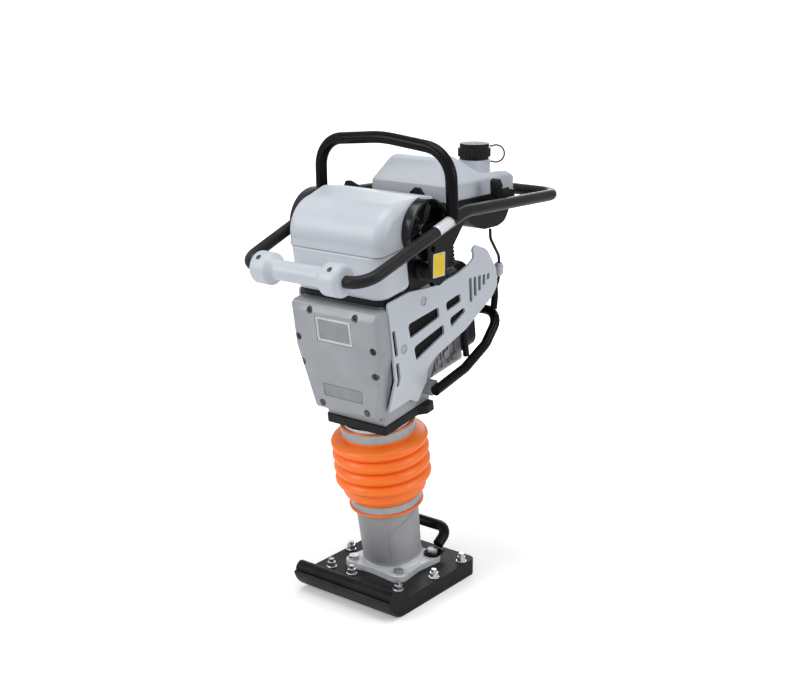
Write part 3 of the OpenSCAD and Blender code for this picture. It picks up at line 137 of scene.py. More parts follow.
def softbox(name, place, aim, size, power):
    """A square area lamp at place, facing aim."""
    lamp = bpy.data.lights.new(name, "AREA")
    lamp.size = size
    lamp.energy = power
    obj = bpy.data.objects.new(name, lamp)
    obj.location = place
    obj.rotation_euler = (Vector(aim) - Vector(place)).to_track_quat("-Z", "Y").to_euler()
    scene.collection.objects.link(obj)


softbox("top_lamp", (0.2, -0.5, 3.3), (0, 0, 0.6), 2.2, 46)
softbox("front_lamp", (-1.6, -2.8, 1.9), (0, 0, 0.6), 1.6, 40)
softbox("side_lamp", (3.0, 0.6, 1.7), (0, 0, 0.6), 1.4, 24)
softbox("rear_lamp", (-1.4, 2.8, 1.9), (0, 0.1, 0.6), 1.6, 22)


# Shoe. A laminated core in black enamel, bent up at the toe, with a steel wear plate wrapped under it.
# Studs through the core carry zinc nuts and washers on top.
def surface(name, colour, shade, grain=0.0008, depth=0.15, rough=0.5, metal=0.0, coat=0.0, mottle=0.09,
            dust=None, dusty=0.0, spread=0.12, shine=0.5):
    """A finish on Object coordinates: slow noise of size mottle drifts the colour from colour to shade, fine
    noise of size grain lifts the surface by depth and moves the roughness by spread; dust gathers on what
    faces up, where a third noise lets it."""
    material = bpy.data.materials.new(name)
    material.use_nodes = True
    t = material.node_tree
    shader = t.nodes["Principled BSDF"]
    shader.inputs["Metallic"].default_value = metal
    shader.inputs["Coat Weight"].default_value = coat
    shader.inputs["Specular IOR Level"].default_value = shine
    shader.inputs["Coat Roughness"].default_value = 0.15
    where = t.nodes.new("ShaderNodeTexCoord").outputs["Object"]

    def noise(size, detail, roughness=0.55):
        n = t.nodes.new("ShaderNodeTexNoise")
        n.inputs["Scale"].default_value = 1.0 / size
        n.inputs["Detail"].default_value = detail
        n.inputs["Roughness"].default_value = roughness
        t.links.new(where, n.inputs["Vector"])
        return n.outputs["Fac"]

    def remap(value, low, high, to_low, to_high):
        m = t.nodes.new("ShaderNodeMapRange")
        m.inputs["From Min"].default_value = low
        m.inputs["From Max"].default_value = high
        m.inputs["To Min"].default_value = to_low
        m.inputs["To Max"].default_value = to_high
        t.links.new(value, m.inputs["Value"])
        return m.outputs["Result"]

    def mix(factor, a, b):
        m = t.nodes.new("ShaderNodeMix")
        m.data_type = "RGBA"
        t.links.new(factor, m.inputs["Factor"])
        for socket, value in ((m.inputs[6], a), (m.inputs[7], b)):
            if isinstance(value, tuple):
                socket.default_value = (*value, 1.0)
            else:
                t.links.new(value, socket)
        return m.outputs[2]

    fine = noise(grain, 3.0)
    tone = mix(remap(noise(mottle, 5.0), 0.3, 0.7, 0.0, 1.0), colour, shade)
    roughness = remap(fine, 0.3, 0.7, max(rough - spread, 0.03), min(rough + spread, 1.0))
    if dust is not None:
        normal = t.nodes.new("ShaderNodeNewGeometry").outputs["Normal"]
        split = t.nodes.new("ShaderNodeSeparateXYZ")
        t.links.new(normal, split.inputs[0])
        up = remap(split.outputs["Z"], -0.2, 1.0, 0.15, 1.0)
        cloud = remap(noise(0.035, 6.0, 0.65), 0.42, 0.72, 0.0, dusty)
        product = t.nodes.new("ShaderNodeMath")
        product.operation = "MULTIPLY"
        t.links.new(up, product.inputs[0])
        t.links.new(cloud, product.inputs[1])
        tone = mix(product.outputs[0], tone, dust)
    t.links.new(tone, shader.inputs["Base Color"])
    t.links.new(roughness, shader.inputs["Roughness"])
    if depth:
        bump = t.nodes.new("ShaderNodeBump")
        bump.inputs["Strength"].default_value = depth
        bump.inputs["Distance"].default_value = grain
        t.links.new(fine, bump.inputs["Height"])
        t.links.new(bump.outputs["Normal"], shader.inputs["Normal"])
    return material


def eased(node, width, material, steps=2, crease=32):
    """The node's own faces, merged and with flat triangles joined, whose sharp edges are then rounded by width."""
    shape = bmesh.new()
    shape.from_mesh(nodes[node].data)
    bmesh.ops.remove_doubles(shape, verts=shape.verts, dist=2e-6)
    bmesh.ops.dissolve_limit(shape, angle_limit=math.radians(0.4), verts=shape.verts, edges=shape.edges)
    mesh = bpy.data.meshes.new(node + "_eased")
    shape.to_mesh(mesh)
    shape.free()
    mesh.polygons.foreach_set("use_smooth", np.ones(len(mesh.polygons), bool))
    mesh.set_sharp_from_angle(angle=math.radians(crease))
    mesh.materials.append(material)
    piece = bpy.data.objects.new(node + "_eased", mesh)
    scene.collection.objects.link(piece)
    if width:
        edge = piece.modifiers.new("eased_edges", "BEVEL")
        edge.width = width
        edge.segments = steps
        edge.limit_method = "ANGLE"
        edge.angle_limit = math.radians(crease)
        edge.harden_normals = True
        edge.use_clamp_overlap = True
    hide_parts(node)
    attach(piece, nodes[node]["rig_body"])


def dress(material, *names):
    """Give the finish to CAD nodes whose own shape is right."""
    for name in names:
        nodes[name].data.materials.clear()
        nodes[name].data.materials.append(material)


earth = (0.30, 0.27, 0.23)
shoe_enamel = surface("shoe_enamel", (0.006, 0.006, 0.0065), (0.010, 0.010, 0.010), grain=0.0011, depth=0.25,
                      rough=0.42, dust=earth, dusty=0.045, shine=0.12)
wear_steel = surface("wear_steel", (0.012, 0.012, 0.0125), (0.022, 0.0215, 0.021), grain=0.0016, depth=0.3,
                     rough=0.45, metal=0.3, dust=earth, dusty=0.1, shine=0.2)
zinc = surface("zinc_plate", (0.62, 0.63, 0.65), (0.5, 0.5, 0.5), grain=0.0006, depth=0.08, rough=0.32, metal=1.0,
               mottle=0.012)
eased("shoe_core", 0.003, shoe_enamel, 3)
eased("wear_plate", 0.0015, wear_steel)
eased("shoe_bolts", 0.0006, zinc)

# Leg. An aluminium casting with a square flange under four bolts and a turned sleeve with a casting seam, painted
# silver; the casting with its flange takes a much lighter copy of that silver, painted light for its upward faces.
# Behind it is a black carrying bar bent from round bar, whose flat feet sit under the rear bolts.
leg_paint = surface("leg_silver", (0.36, 0.362, 0.375), (0.30, 0.302, 0.312), grain=0.0014, depth=0.35, rough=0.45,
                    metal=0.35, dust=earth, dusty=0.1)
# A much lighter copy of the leg's silver: painted light for the light the casting's upward-facing flange catches.
lit_flange_paint = surface("flange_silver_painted_light", (0.74, 0.76, 0.79), (0.66, 0.68, 0.71), grain=0.0014, depth=0.3,
                       rough=0.42, metal=0.2, dust=earth, dusty=0.08)
black_gloss = surface("black_gloss_enamel", (0.0045, 0.0045, 0.005), (0.007, 0.007, 0.0075), grain=0.0018,
                      depth=0.06, rough=0.24, spread=0.06, shine=0.11)
eased("leg_casting", 0.0025, lit_flange_paint, 3)
eased("flange_bolts", 0.0007, zinc)


def bends(points, radii, steps=14):
    """Corner points of a path in space, each inner corner replaced by an arc of its radius."""
    p = np.asarray(points, float)
    line = [p[:1]]
    for before, here, after, radius in zip(p[:-2], p[1:-1], p[2:], np.broadcast_to(radii, len(p) - 2)):
        u = (before - here) / np.linalg.norm(before - here)
        w = (after - here) / np.linalg.norm(after - here)
        half = math.acos(np.clip(u @ w, -1, 1)) / 2
        centre = here + (u + w) / np.linalg.norm(u + w) * radius / math.sin(half)
        out_from = here + u * radius / math.tan(half) - centre
        turn = np.linspace(0, math.pi - 2 * half, steps)[:, None]
        line.append(centre + out_from * np.cos(turn) - u * radius * np.sin(turn))
    line.append(p[-1:])
    return np.vstack(line)


def carried(path):
    """Two cross directions carried along a path without twist."""
    t = np.gradient(path, axis=0)
    t /= np.linalg.norm(t, axis=1)[:, None]
    first = np.cross(t[0], (0, 0, 1.0) if abs(t[0][2]) < 0.8 else (1.0, 0, 0))
    side = [first / np.linalg.norm(first)]
    for k in range(1, len(path)):
        v = side[-1] - (side[-1] @ t[k]) * t[k]
        side.append(v / np.linalg.norm(v))
    side = np.array(side)
    return side, np.cross(t, side)


def grid_faces(rows, cols, wrap):
    """Quads over a grid of rows by cols points, closed round the columns where wrap says so."""
    r, c = np.meshgrid(np.arange(rows - 1), np.arange(cols if wrap else cols - 1), indexing="ij")
    n = (c + 1) % cols
    return np.stack([r * cols + c, r * cols + n, (r + 1) * cols + n, (r + 1) * cols + c], -1).reshape(-1, 4)


def skin(name, points, material, wrap=True, caps=True, crease=50):
    """A grid of points (rows, columns, 3) as a mesh; caps close the first and last row."""
    rows, cols = points.shape[:2]
    faces = [tuple(f) for f in grid_faces(rows, cols, wrap).tolist()]
    if caps:
        faces.append(tuple(range(cols - 1, -1, -1)))
        faces.append(tuple(range((rows - 1) * cols, rows * cols)))
    mesh = bpy.data.meshes.new(name)
    mesh.from_pydata(points.reshape(-1, 3).tolist(), [], faces)
    mesh.polygons.foreach_set("use_smooth", np.ones(len(mesh.polygons), bool))
    mesh.set_sharp_from_angle(angle=math.radians(crease))
    mesh.materials.append(material)
    piece = bpy.data.objects.new(name, mesh)
    scene.collection.objects.link(piece)
    return piece


def tube(name, path, radius, material, sides=32):
    """A round section swept along a path: radius (a number, or one per point) times the two cross directions."""
    path = np.asarray(path, float)
    side, up = carried(path)
    a = np.linspace(0, 2 * math.pi, sides, endpoint=False)
    r = np.broadcast_to(np.asarray(radius, float), (len(path),))[:, None, None]
    ring = np.cos(a)[None, :, None] * side[:, None] + np.sin(a)[None, :, None] * up[:, None]
    return skin(name, path[:, None] + r * ring, material)


def faced_out(piece):
    """Turn every face of a closed mesh outward."""
    shape = bmesh.new()
    shape.from_mesh(piece.data)
    bmesh.ops.recalc_face_normals(shape, faces=shape.faces)
    shape.to_mesh(piece.data)
    shape.free()


carry_r = 0.0122
spread, flange_y = 0.063, -0.00713
foot_at = (spread, flange_y + spread + 0.020, 0.0690)
back_at = (spread, flange_y + spread + 0.061, 0.0950)
mirrored = [np.multiply(p, (-1, 1, 1)) for p in (back_at, foot_at)]
carry_path = bends([foot_at, back_at, *mirrored], 0.028)
carry_bar = tube("carrying_bar", carry_path, carry_r, black_gloss)


def slab(name, outline, low, high, place, material, ease=0.0006):
    """A flat outline (u, v) carried from low to high along the third axis, put in place by a function, with
    eased edges."""
    p = np.zeros((2, len(outline), 3))
    p[..., :2] = outline
    p[..., 2] = np.array([low, high])[:, None]
    piece = skin(name, place(p), material, crease=30)
    faced_out(piece)
    edge = piece.modifiers.new("eased_edges", "BEVEL")
    edge.width = ease
    edge.segments = 2
    edge.limit_method = "ANGLE"
    return piece


tab_r, tab_back, flange_top, tab_top = 0.019, 0.030, 0.0522, 0.0578
a = np.linspace(-math.pi, 0, 25)
tab = np.vstack([np.stack([tab_r * np.cos(a), tab_r * np.sin(a)], 1), [[carry_r, tab_back], [-carry_r, tab_back]]])
for name, side in (("left", 1), ("right", -1)):
    foot = slab("carrying_bar_foot." + name, tab, flange_top, tab_top,
                lambda p: p + np.array((side * spread, flange_y + spread, 0)), black_gloss)
    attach(foot, "foot")
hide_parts("carry_bar")
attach(carry_bar, "foot")
lean = math.radians(9)


def leaned(p):
    """Points drawn upright about the ram axis, turned forward to its lean."""
    p = np.asarray(p, float)
    c, s = math.cos(lean), math.sin(lean)
    return np.stack([p[..., 0], p[..., 1] * c - p[..., 2] * s, p[..., 1] * s + p[..., 2] * c], -1)


def lathe(name, profile, material, place, sides=128, crease=50):
    """A closed profile of (radius, height) turned about an upright axis, then put in place by a function."""
    a = np.linspace(0, 2 * math.pi, sides, endpoint=False)
    profile = np.asarray(profile, float)
    p = np.stack([profile[:, None, 0] * np.cos(a), profile[:, None, 0] * np.sin(a),
                  np.broadcast_to(profile[:, None, 1], (len(profile), sides))], -1)
    piece = skin(name, place(p), material, caps=False, crease=crease)
    faced_out(piece)
    return piece


bore_r, waist_r, neck_r = 0.0590, 0.0654, 0.0690
sleeve_low, waist_z, neck_z, sleeve_top = 0.0700, 0.0750, 0.1940, 0.2000
sleeve_profile = [(bore_r, sleeve_low), (0.0662, sleeve_low), (0.0668, 0.0706), (0.0668, 0.0722), (0.0656, 0.0738),
                  (waist_r, waist_z), (neck_r, neck_z), (neck_r, sleeve_top), (bore_r, sleeve_top),
                  (bore_r, sleeve_low)]
sleeve = lathe("leg_sleeve", sleeve_profile, leg_paint, leaned, crease=40)
seam_turn = np.radians(np.concatenate([np.linspace(18, -50, 30), np.full(16, -52.0)]))
seam_z = np.concatenate([np.linspace(0.1930, 0.1570, 30), np.linspace(0.1530, 0.0755, 16)])
seam_proud, seam_wire = 0.0001, 0.0009
seam_out = waist_r + (neck_r - waist_r) * (seam_z - waist_z) / (neck_z - waist_z) + seam_proud
seam_line = np.stack([seam_out * np.cos(seam_turn), seam_out * np.sin(seam_turn), seam_z], 1)
leg_seam = tube("leg_seam", leaned(seam_line), seam_wire, leg_paint, 10)
for piece in (sleeve, leg_seam):
    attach(piece, "foot")

# Ram. Inside the bellows a ground spring cylinder stands on the leg and slides in the guide cylinder under the
# machine; a piston on the crank's rod works between two coil springs.
ground_steel = surface("ground_steel", (0.5, 0.51, 0.53), (0.42, 0.43, 0.45), grain=0.0005, depth=0.05, rough=0.25,
                       metal=1.0)
spring_steel = surface("spring_steel", (0.16, 0.17, 0.19), (0.12, 0.12, 0.13), grain=0.0012, depth=0.2, rough=0.4,
                       metal=0.9)
bronze = surface("bush_bronze", (0.55, 0.38, 0.16), (0.45, 0.30, 0.12), grain=0.0008, depth=0.1, rough=0.35,
                 metal=1.0)
for name in ("spring_cylinder", "guide_cylinder", "piston_rod"):
    eased(name, 0.0006, ground_steel)
eased("cylinder_cap", 0.0008, bronze)


def coil(name, low, high):
    """A helix of five turns about the ram axis between two heights, swept with round wire."""
    turns, mean_r, wire = 5, 0.0315, 0.0045
    f = np.linspace(0, 1, 241)
    rise = low + wire + (high - low - 2 * wire) * f
    a = 2 * math.pi * turns * f
    line = np.stack([mean_r * np.cos(a), mean_r * np.sin(a), rise], 1)
    return tube(name, leaned(line), wire, spring_steel, 14)


lower_coil = coil("lower_ram_spring", 0.0703, 0.1997)
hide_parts("lower_spring")
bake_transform(lower_coil)
upper_coil = coil("upper_ram_spring", 0.2143, 0.3327)
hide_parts("upper_spring")
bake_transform(upper_coil)

# Bellows. A moulded sleeve of orange polyurethane with round ribs, the lowest one smaller, and a cuff at each end
# under a steel clamp band with a worm screw at the back.
orange = surface("bellows_orange", (1.0, 0.195, 0.010), (0.97, 0.165, 0.008), grain=0.0015, depth=0.06, rough=0.36,
                 coat=0.06, spread=0.07, dust=(0.8, 0.3, 0.1), dusty=0.12)


def bellows_profile():
    """Outer wall: a lip and a cuff, then for each rib the root plus its rise to the crest times a flattened sine,
    then the upper cuff; the inner wall is the same line one wall further in."""
    crest, deep, wall, bore = 0.1057, 0.0118, 0.0036, 0.0734
    low, high, ribs = 0.2275, 0.3725, 5
    lower_root, upper_root, first_crest, first_root = 0.0776, 0.0806, crest - 0.014, crest - deep - 0.005
    f = np.linspace(0, ribs, ribs * 24 + 1)
    rib = np.minimum(f.astype(int), ribs - 1)
    part = f - rib
    top = np.where(rib == 0, first_crest, crest)
    root_below = np.where(rib == 0, lower_root, np.where(rib == 1, first_root, crest - deep))
    root_above = np.where(rib == ribs - 1, upper_root, np.where(rib == 0, first_root, crest - deep))
    root = np.where(part < 0.5, root_below, root_above)
    r = root + (top - root) * np.sin(math.pi * part) ** 0.6
    z = low + (high - low) * f / ribs
    lower_cuff = [(0.0762, 0.1998), (0.0806, 0.2002), (0.0822, 0.2018), (0.0824, 0.2038), (0.0812, 0.2054),
                  (0.0773, 0.2059), (0.0773, 0.2265)]
    upper_cuff = [(0.0803, 0.3735), (0.0803, 0.3988), (0.0795, 0.3998)]
    outer = np.vstack([lower_cuff, np.stack([r, z], 1), upper_cuff])
    inner = np.stack([np.maximum(outer[:, 0] - wall, bore), outer[:, 1]], 1)[::-1]
    return np.vstack([outer, inner, outer[:1]])


bellows = lathe("bellows_sleeve", bellows_profile(), orange, leaned)
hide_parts("bellows")
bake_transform(bellows)
band_steel = surface("band_steel", (0.40, 0.42, 0.43), (0.34, 0.355, 0.36), grain=0.0007, depth=0.1, rough=0.4,
                     metal=0.7, mottle=0.02)
eased("lower_clamp", 0.0004, band_steel)
eased("upper_clamp", 0.0004, band_steel)

# Crankcase. A grey enamelled casting on a black base plate, closed in front by a deep cover with a rounded rim, a
# chamfered head and a stepped lower panel. Dark socket screws sit in pockets, and two bare alloy plates in recesses.
case_enamel = surface("case_grey", (0.345, 0.354, 0.372), (0.295, 0.304, 0.32), grain=0.0013, depth=0.22,
                      rough=0.4, metal=0.2, coat=0.08, dust=(0.42, 0.4, 0.37), dusty=0.15)
base_black = surface("base_black", (0.007, 0.007, 0.0075), (0.012, 0.012, 0.0125), grain=0.0014, depth=0.2,
                     rough=0.4, dust=earth, dusty=0.04, shine=0.16)
dark_screw = surface("dark_screw", (0.10, 0.10, 0.105), (0.07, 0.07, 0.072), grain=0.0006, depth=0.1, rough=0.4,
                     metal=0.8, mottle=0.01)
eased("base_plate", 0.0025, base_black, 3)
eased("crankcase", 0.003, case_enamel, 3)
eased("front_cover", 0.0022, case_enamel, 3)
eased("cover_bolts", 0.0006, dark_screw)


def fronted(p):
    """Points drawn as across, up and out of the case's front, put on the leaned machine."""
    return leaned(np.stack([p[..., 0], -p[..., 2], p[..., 1]], -1))


plate_alloy = surface("plate_alloy", (0.60, 0.61, 0.62), (0.52, 0.53, 0.54), grain=0.0007, depth=0.1, rough=0.35,
                      metal=0.85, mottle=0.03)
plate_grey = surface("plate_grey", (0.30, 0.31, 0.32), (0.25, 0.26, 0.27), grain=0.0008, depth=0.15, rough=0.42,
                     metal=0.7, mottle=0.03)
for name, half, low, high, back, thick, finish in (
        ("name_plate_bare", 0.0457, 0.6164, 0.6697, 0.10256, 0.0009, plate_alloy),
        ("name_plate_panel", 0.0405, 0.6216, 0.6645, 0.10350, 0.0004, plate_grey),
        ("type_plate_bare", 0.0507, 0.4892, 0.5150, 0.09656, 0.0009, plate_grey)):
    outline = np.array([(-half, low), (half, low), (half, high), (-half, high)])
    plate = slab(name, outline, back, back + thick, fronted, finish, 0.0002)
    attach(plate, "machine")

# Drive. A crank gear with its pin, a connecting rod, a pinion with the clutch drum, shoes and bearings. All are of
# machined steel, apart from the shoes' linings, and run in oil inside the crankcase.
gear_steel = surface("gear_steel", (0.33, 0.34, 0.36), (0.27, 0.28, 0.30), grain=0.0007, depth=0.08, rough=0.3,
                     metal=1.0)
lining = surface("clutch_lining", (0.16, 0.10, 0.07), (0.11, 0.07, 0.05), grain=0.001, depth=0.4, rough=0.75)
dress(gear_steel, "crank_gear", "conrod", "clutch_drum")
dress(ground_steel, "wrist_pin", "crank_bearing", "pinion_bearing", "engine_shaft")
dress(lining, "clutch_shoes")

# Engine. Bare aluminium block with a black finned barrel and head, carburettor and choke on the left, silencer
# on the right, and a black fan housing and recoil starter at the back.
bare_alloy = surface("bare_alloy", (0.40, 0.40, 0.41), (0.28, 0.28, 0.28), grain=0.0016, depth=0.4, rough=0.45,
                     metal=0.8, dust=earth, dusty=0.15)
heat_black = surface("heatproof_black", (0.014, 0.014, 0.0145), (0.024, 0.0235, 0.023), grain=0.001, depth=0.3,
                     rough=0.55, metal=0.2)
black_plastic = surface("grained_black_plastic", (0.008, 0.008, 0.0085), (0.012, 0.012, 0.0125), grain=0.0009,
                        depth=0.18, rough=0.42, shine=0.2)
for name in ("engine_block", "carburettor"):
    eased(name, 0.0015, bare_alloy)
for name in ("cylinder_barrel", "cylinder_head", "muffler"):
    eased(name, 0.0008, heat_black)
for name in ("spark_plug", "choke_lever", "fan_housing", "recoil_starter", "starter_grip"):
    eased(name, 0.001, black_plastic)

# Starter rope. Braided cord, wound on the reel inside the starter and knotted in the grip, with a short end showing
# between the two.
rope_white = surface("rope_braid", (0.62, 0.60, 0.55), (0.5, 0.48, 0.44), grain=0.0011, depth=0.6, rough=0.8)
rope_x, rope_z, rope_r, strand, strand_turn, rope_rows = 0.044, 0.640, 0.0019, 0.00015, 1.6, 60
rope_y = np.linspace(0.246, 0.2822, rope_rows)
rope_line = leaned(np.stack([np.full(rope_rows, rope_x), rope_y, np.full(rope_rows, rope_z)], 1))
rope = tube("starter_cord", rope_line, rope_r + strand * np.sin(np.arange(rope_rows) * strand_turn), rope_white, 16)
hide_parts("starter_rope")
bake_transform(rope)

# Intake hose. Ribbed black rubber, pushed over the carburettor's mouth and led up to an elbow on the air cleaner's
# tray.
hose_rubber = surface("hose_rubber", (0.008, 0.008, 0.0085), (0.013, 0.013, 0.013), grain=0.001, depth=0.15,
                      rough=0.5, shine=0.35)
hose_x, hose_y, hose_low, hose_bend, hose_end = 0.078, 0.186, 0.6993, 0.782, 0.1173
elbow_r, ribbed_r, rib_high, plain_r, rib_count, hose_rows = 0.016, 0.0195, 0.0015, 0.0178, 8, 130
rise = np.linspace(hose_low, hose_bend - elbow_r, hose_rows)
a = np.linspace(0, math.pi / 2, 24)[1:]
hose_path = np.vstack([
    np.stack([np.full(hose_rows, hose_x), np.full(hose_rows, hose_y), rise], 1),
    np.stack([np.full(len(a), hose_x), hose_y - elbow_r * (1 - np.cos(a)),
              hose_bend - elbow_r + elbow_r * np.sin(a)], 1),
    [[hose_x, hose_end, hose_bend]]])
rib_turn = np.linspace(0, rib_count, hose_rows) * 2 * math.pi - 1.57
hose_r = np.concatenate([ribbed_r + rib_high * np.sin(rib_turn), np.full(len(a) + 1, plain_r)])
intake = tube("intake_hose_rubber", leaned(hose_path), hose_r, hose_rubber, 40)
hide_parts("intake_hose")
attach(intake, "machine")

# Engine guard. Steel tube in gloss black, bent in one loop round the engine and bolted to lugs on the crankcase.
# Curved posts and struts inside the shrouds are welded to it.
guard_half, guard_r = 0.117, 0.011
guard_side = [(guard_half, 0.060, 0.464), (guard_half, 0.172, 0.472), (guard_half, 0.254, 0.496),
              (guard_half, 0.320, 0.548)]
guard_line = bends(guard_side + [(-x, y, z) for x, y, z in guard_side[::-1]], 0.040)
guard = tube("engine_guard_tube", leaned(guard_line), guard_r, black_gloss)
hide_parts("engine_guard")
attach(guard, "machine")
eased("guard_posts", 0, black_gloss, crease=50)

# Side shrouds. Cool white mouldings that wrap the crankcase and sweep back over the engine, with slots and slanted
# vents, held by two grey screws each. Near-black sheets behind the openings are painted shade, standing in for the
# shaded engine seen through them.
cool_white = surface("cool_white_plastic", (0.53, 0.56, 0.60), (0.49, 0.52, 0.565), grain=0.0012, depth=0.05,
                     rough=0.38, coat=0.08, spread=0.06, dust=(0.42, 0.41, 0.39), dusty=0.14)
eased("left_shroud", 0.0014, cool_white, 3)
eased("right_shroud", 0.0014, cool_white, 3)
button_grey = surface("button_grey", (0.42, 0.44, 0.45), (0.38, 0.40, 0.41), grain=0.0012, depth=0.05, rough=0.42,
                      mottle=0.01)
eased("shroud_bolts", 0.0005, button_grey)
# Near-black sheet colour: painted shade for the shaded inside of the machine behind the shroud openings.
painted_shade_black = surface("painted_shade_black", (0.006, 0.006, 0.0065), (0.011, 0.011, 0.011), grain=0.0015, depth=0.5,
                     rough=0.8, shine=0.2)


def shade_sheet(name, side, y_edge, low_edge, high):
    """A near-black sheet behind the shroud's openings, painted shade for the shaded engine seen through them: across
    the depth y_edge[0] to y_edge[-1], from the line low_edge up to high, ribbed by a sine along the depth, and drawn
    in below the shoulder as the wall is."""
    wall_x, rib, pitch, shoulder, drawn_in, drop = 0.1108, 0.0009, 0.012, 0.543, 0.03, 0.085
    y = np.linspace(y_edge[0], y_edge[-1], 97)
    low = np.interp(y, y_edge, low_edge)
    f = np.linspace(0, 1, 13)[:, None]
    z = low + (high - low) * f
    x = wall_x + rib * np.sin(2 * math.pi * y / pitch) - drawn_in * np.maximum(0, shoulder - z) / drop
    grid = np.stack([side * x, np.broadcast_to(y, z.shape), z], -1)
    sheet = skin(name, leaned(grid), painted_shade_black, wrap=False, caps=False)
    thick = sheet.modifiers.new("thickness", "SOLIDIFY")
    thick.thickness = 0.0008
    thick.offset = 0
    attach(sheet, "machine")


# Painted shade: near-black sheets behind each shroud's slots, vents and front corner opening.
for name, side in (("left", 1), ("right", -1)):
    shade_sheet("slot_shade_sheet." + name, side, (-0.014, 0.112, 0.118, 0.192), (0.550, 0.570, 0.581, 0.588), 0.652)
    shade_sheet("vent_shade_sheet." + name, side, (0.200, 0.2893), (0.604, 0.604), 0.675)
    shade_sheet("corner_shade_sheet." + name, side, (-0.0645, -0.0445), (0.516, 0.516), 0.655)

# Air cleaner. A white tray and hood over a round paper filter. The hood's rear and the dished caps in its ends are
# black plastic, and the cap on the right has a larger cover. A black carrier plate below has ears that hold the
# handle's rubber mounts.
filter_paper = surface("filter_paper", (0.7, 0.6, 0.36), (0.62, 0.52, 0.3), grain=0.002, depth=0.4, rough=0.85)
mount_rubber = surface("mount_rubber", (0.007, 0.007, 0.0075), (0.011, 0.011, 0.011), grain=0.0012, depth=0.2,
                       rough=0.55, shine=0.35)
eased("carrier_plate", 0.0015, base_black)


def closed(corners, radii, steps=8):
    """A plane outline whose corners are rounded by their radii."""
    p = [(u, v, 0.0) for u, v in corners]
    middle = np.add(p[0], p[-1]) / 2
    return bends([middle, *p, middle], radii, steps)[:-1, :2]


def plane_normals(curve, ring):
    """Unit normals on the left of a plane curve."""
    t = np.roll(curve, -1, 0) - np.roll(curve, 1, 0) if ring else np.gradient(curve, axis=0)
    t = t / np.linalg.norm(t, axis=1)[:, None]
    return np.stack([-t[:, 1], t[:, 0]], 1)


seam, seam_gap, hood_top, hood_half, hood_back = 0.806, 0.0006, 0.893, 0.124, 0.125
front_y, front_r = -0.0043, 0.0722
front = np.radians(np.linspace(178, 90, 36))
back = bends([(0.004, hood_top, 0), (0.058, hood_top, 0), (hood_back, 0.8735, 0), (hood_back, 0.818, 0)],
             (0.05, 0.026), 14)
hood_line = np.vstack([
    np.linspace((-0.0800, seam + seam_gap), (-0.0766, seam + 0.0160), 6),
    np.stack([front_y + front_r * np.cos(front), hood_top - front_r + front_r * np.sin(front)], 1),
    back[:, :2],
    [[hood_back, seam + seam_gap]]])
cap_at, cap_r, mouth = np.array((0.0555, 0.8265)), 0.0634, 0.0638
reach = hood_line - cap_at
least_roll, roll = 0.0022, 0.024
ends = np.clip(np.linalg.norm(reach, axis=1) - mouth - 0.0003, least_roll, roll)
turn = np.linspace(math.pi / 2, 0, 12)[:, None]
rim_x, rim_in = hood_half - ends * (1 - np.sin(turn)), ends * (1 - np.cos(turn))
middle = np.linspace(1, -1, 20)[1:-1, None] * (hood_half - ends)
along = np.concatenate([rim_x, middle, -rim_x[::-1]])
inset = np.concatenate([rim_in, 0 * middle, rim_in[::-1]])
yz = hood_line[None] - inset[..., None] * plane_normals(hood_line, False)[None]
yz[..., 1] = np.maximum(yz[..., 1], seam + seam_gap)
hood_grid = np.concatenate([along[..., None], yz], 2)
bearing = np.degrees(np.arctan2(reach[:, 1], reach[:, 0]))
bearing[bearing < -90] += 360
sill = math.degrees(math.asin((cap_at[1] - seam - seam_gap) / mouth))
share = (bearing - bearing.min()) / (bearing.max() - bearing.min())
bearing = np.radians(-sill + (180 + 2 * sill) * share)
ring = cap_at + mouth * np.stack([np.cos(bearing), np.sin(bearing)], 1)
lip_deep, black_from = 0.005, 0.090
lip = [np.column_stack([np.full(len(ring), x), ring]) for x in (hood_half - lip_deep, hood_half)]
far_lip = [q * (-1, 1, 1) for q in lip[::-1]]
hood_grid = np.concatenate([np.stack(lip), hood_grid, np.stack(far_lip)])
hood = skin("cleaner_hood", leaned(hood_grid), cool_white, wrap=False, caps=False, crease=40)
hood.data.materials.append(black_plastic)
behind = (hood_line[:-1, 0] > black_from).astype(np.int32)
hood.data.polygons.foreach_set("material_index", np.tile(behind, len(hood_grid) - 1))
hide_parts("cleaner_cover")
tray_front, tray_half, tray_in, tray_back, tray_low = -0.084, 0.122, 0.101, 0.117, 0.712
tray_side = [(tray_half, tray_front), (tray_half, 0.006), (tray_in, 0.010), (tray_in, tray_back)]
tray_line = closed(tray_side + [(-u, v) for u, v in tray_side[::-1]],
                   (0.034, 0.008, 0.006, 0.008, 0.008, 0.006, 0.008, 0.034), 10)
foot_roll, edge_roll = 0.018, 0.003
turn = np.linspace(0, math.pi / 2, 12)
level = np.concatenate([tray_low + foot_roll * (1 - np.cos(turn)), np.linspace(0.735, seam - 0.004, 6),
                        seam - seam_gap - edge_roll * (1 - np.sin(turn))])
inset = np.concatenate([foot_roll * (1 - np.sin(turn)), np.zeros(6), edge_roll * (1 - np.cos(turn))])
uv = tray_line[None] + inset[:, None, None] * plane_normals(tray_line, True)[None]
tray_grid = np.concatenate([uv, np.broadcast_to(level[:, None, None], (*uv.shape[:2], 1))], 2)
tray = skin("cleaner_tray_shell", leaned(tray_grid), cool_white, crease=40)
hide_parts("cleaner_tray")
for piece in (hood, tray):
    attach(piece, "machine")
cap_black = surface("cap_black", (0.005, 0.005, 0.0055), (0.008, 0.008, 0.0085), grain=0.0016, depth=0.05,
                    rough=0.2, spread=0.05, shine=0.5)
cover_at, cover_r, cover_low = np.array((0.033, 0.822)), 0.0698, 0.7640


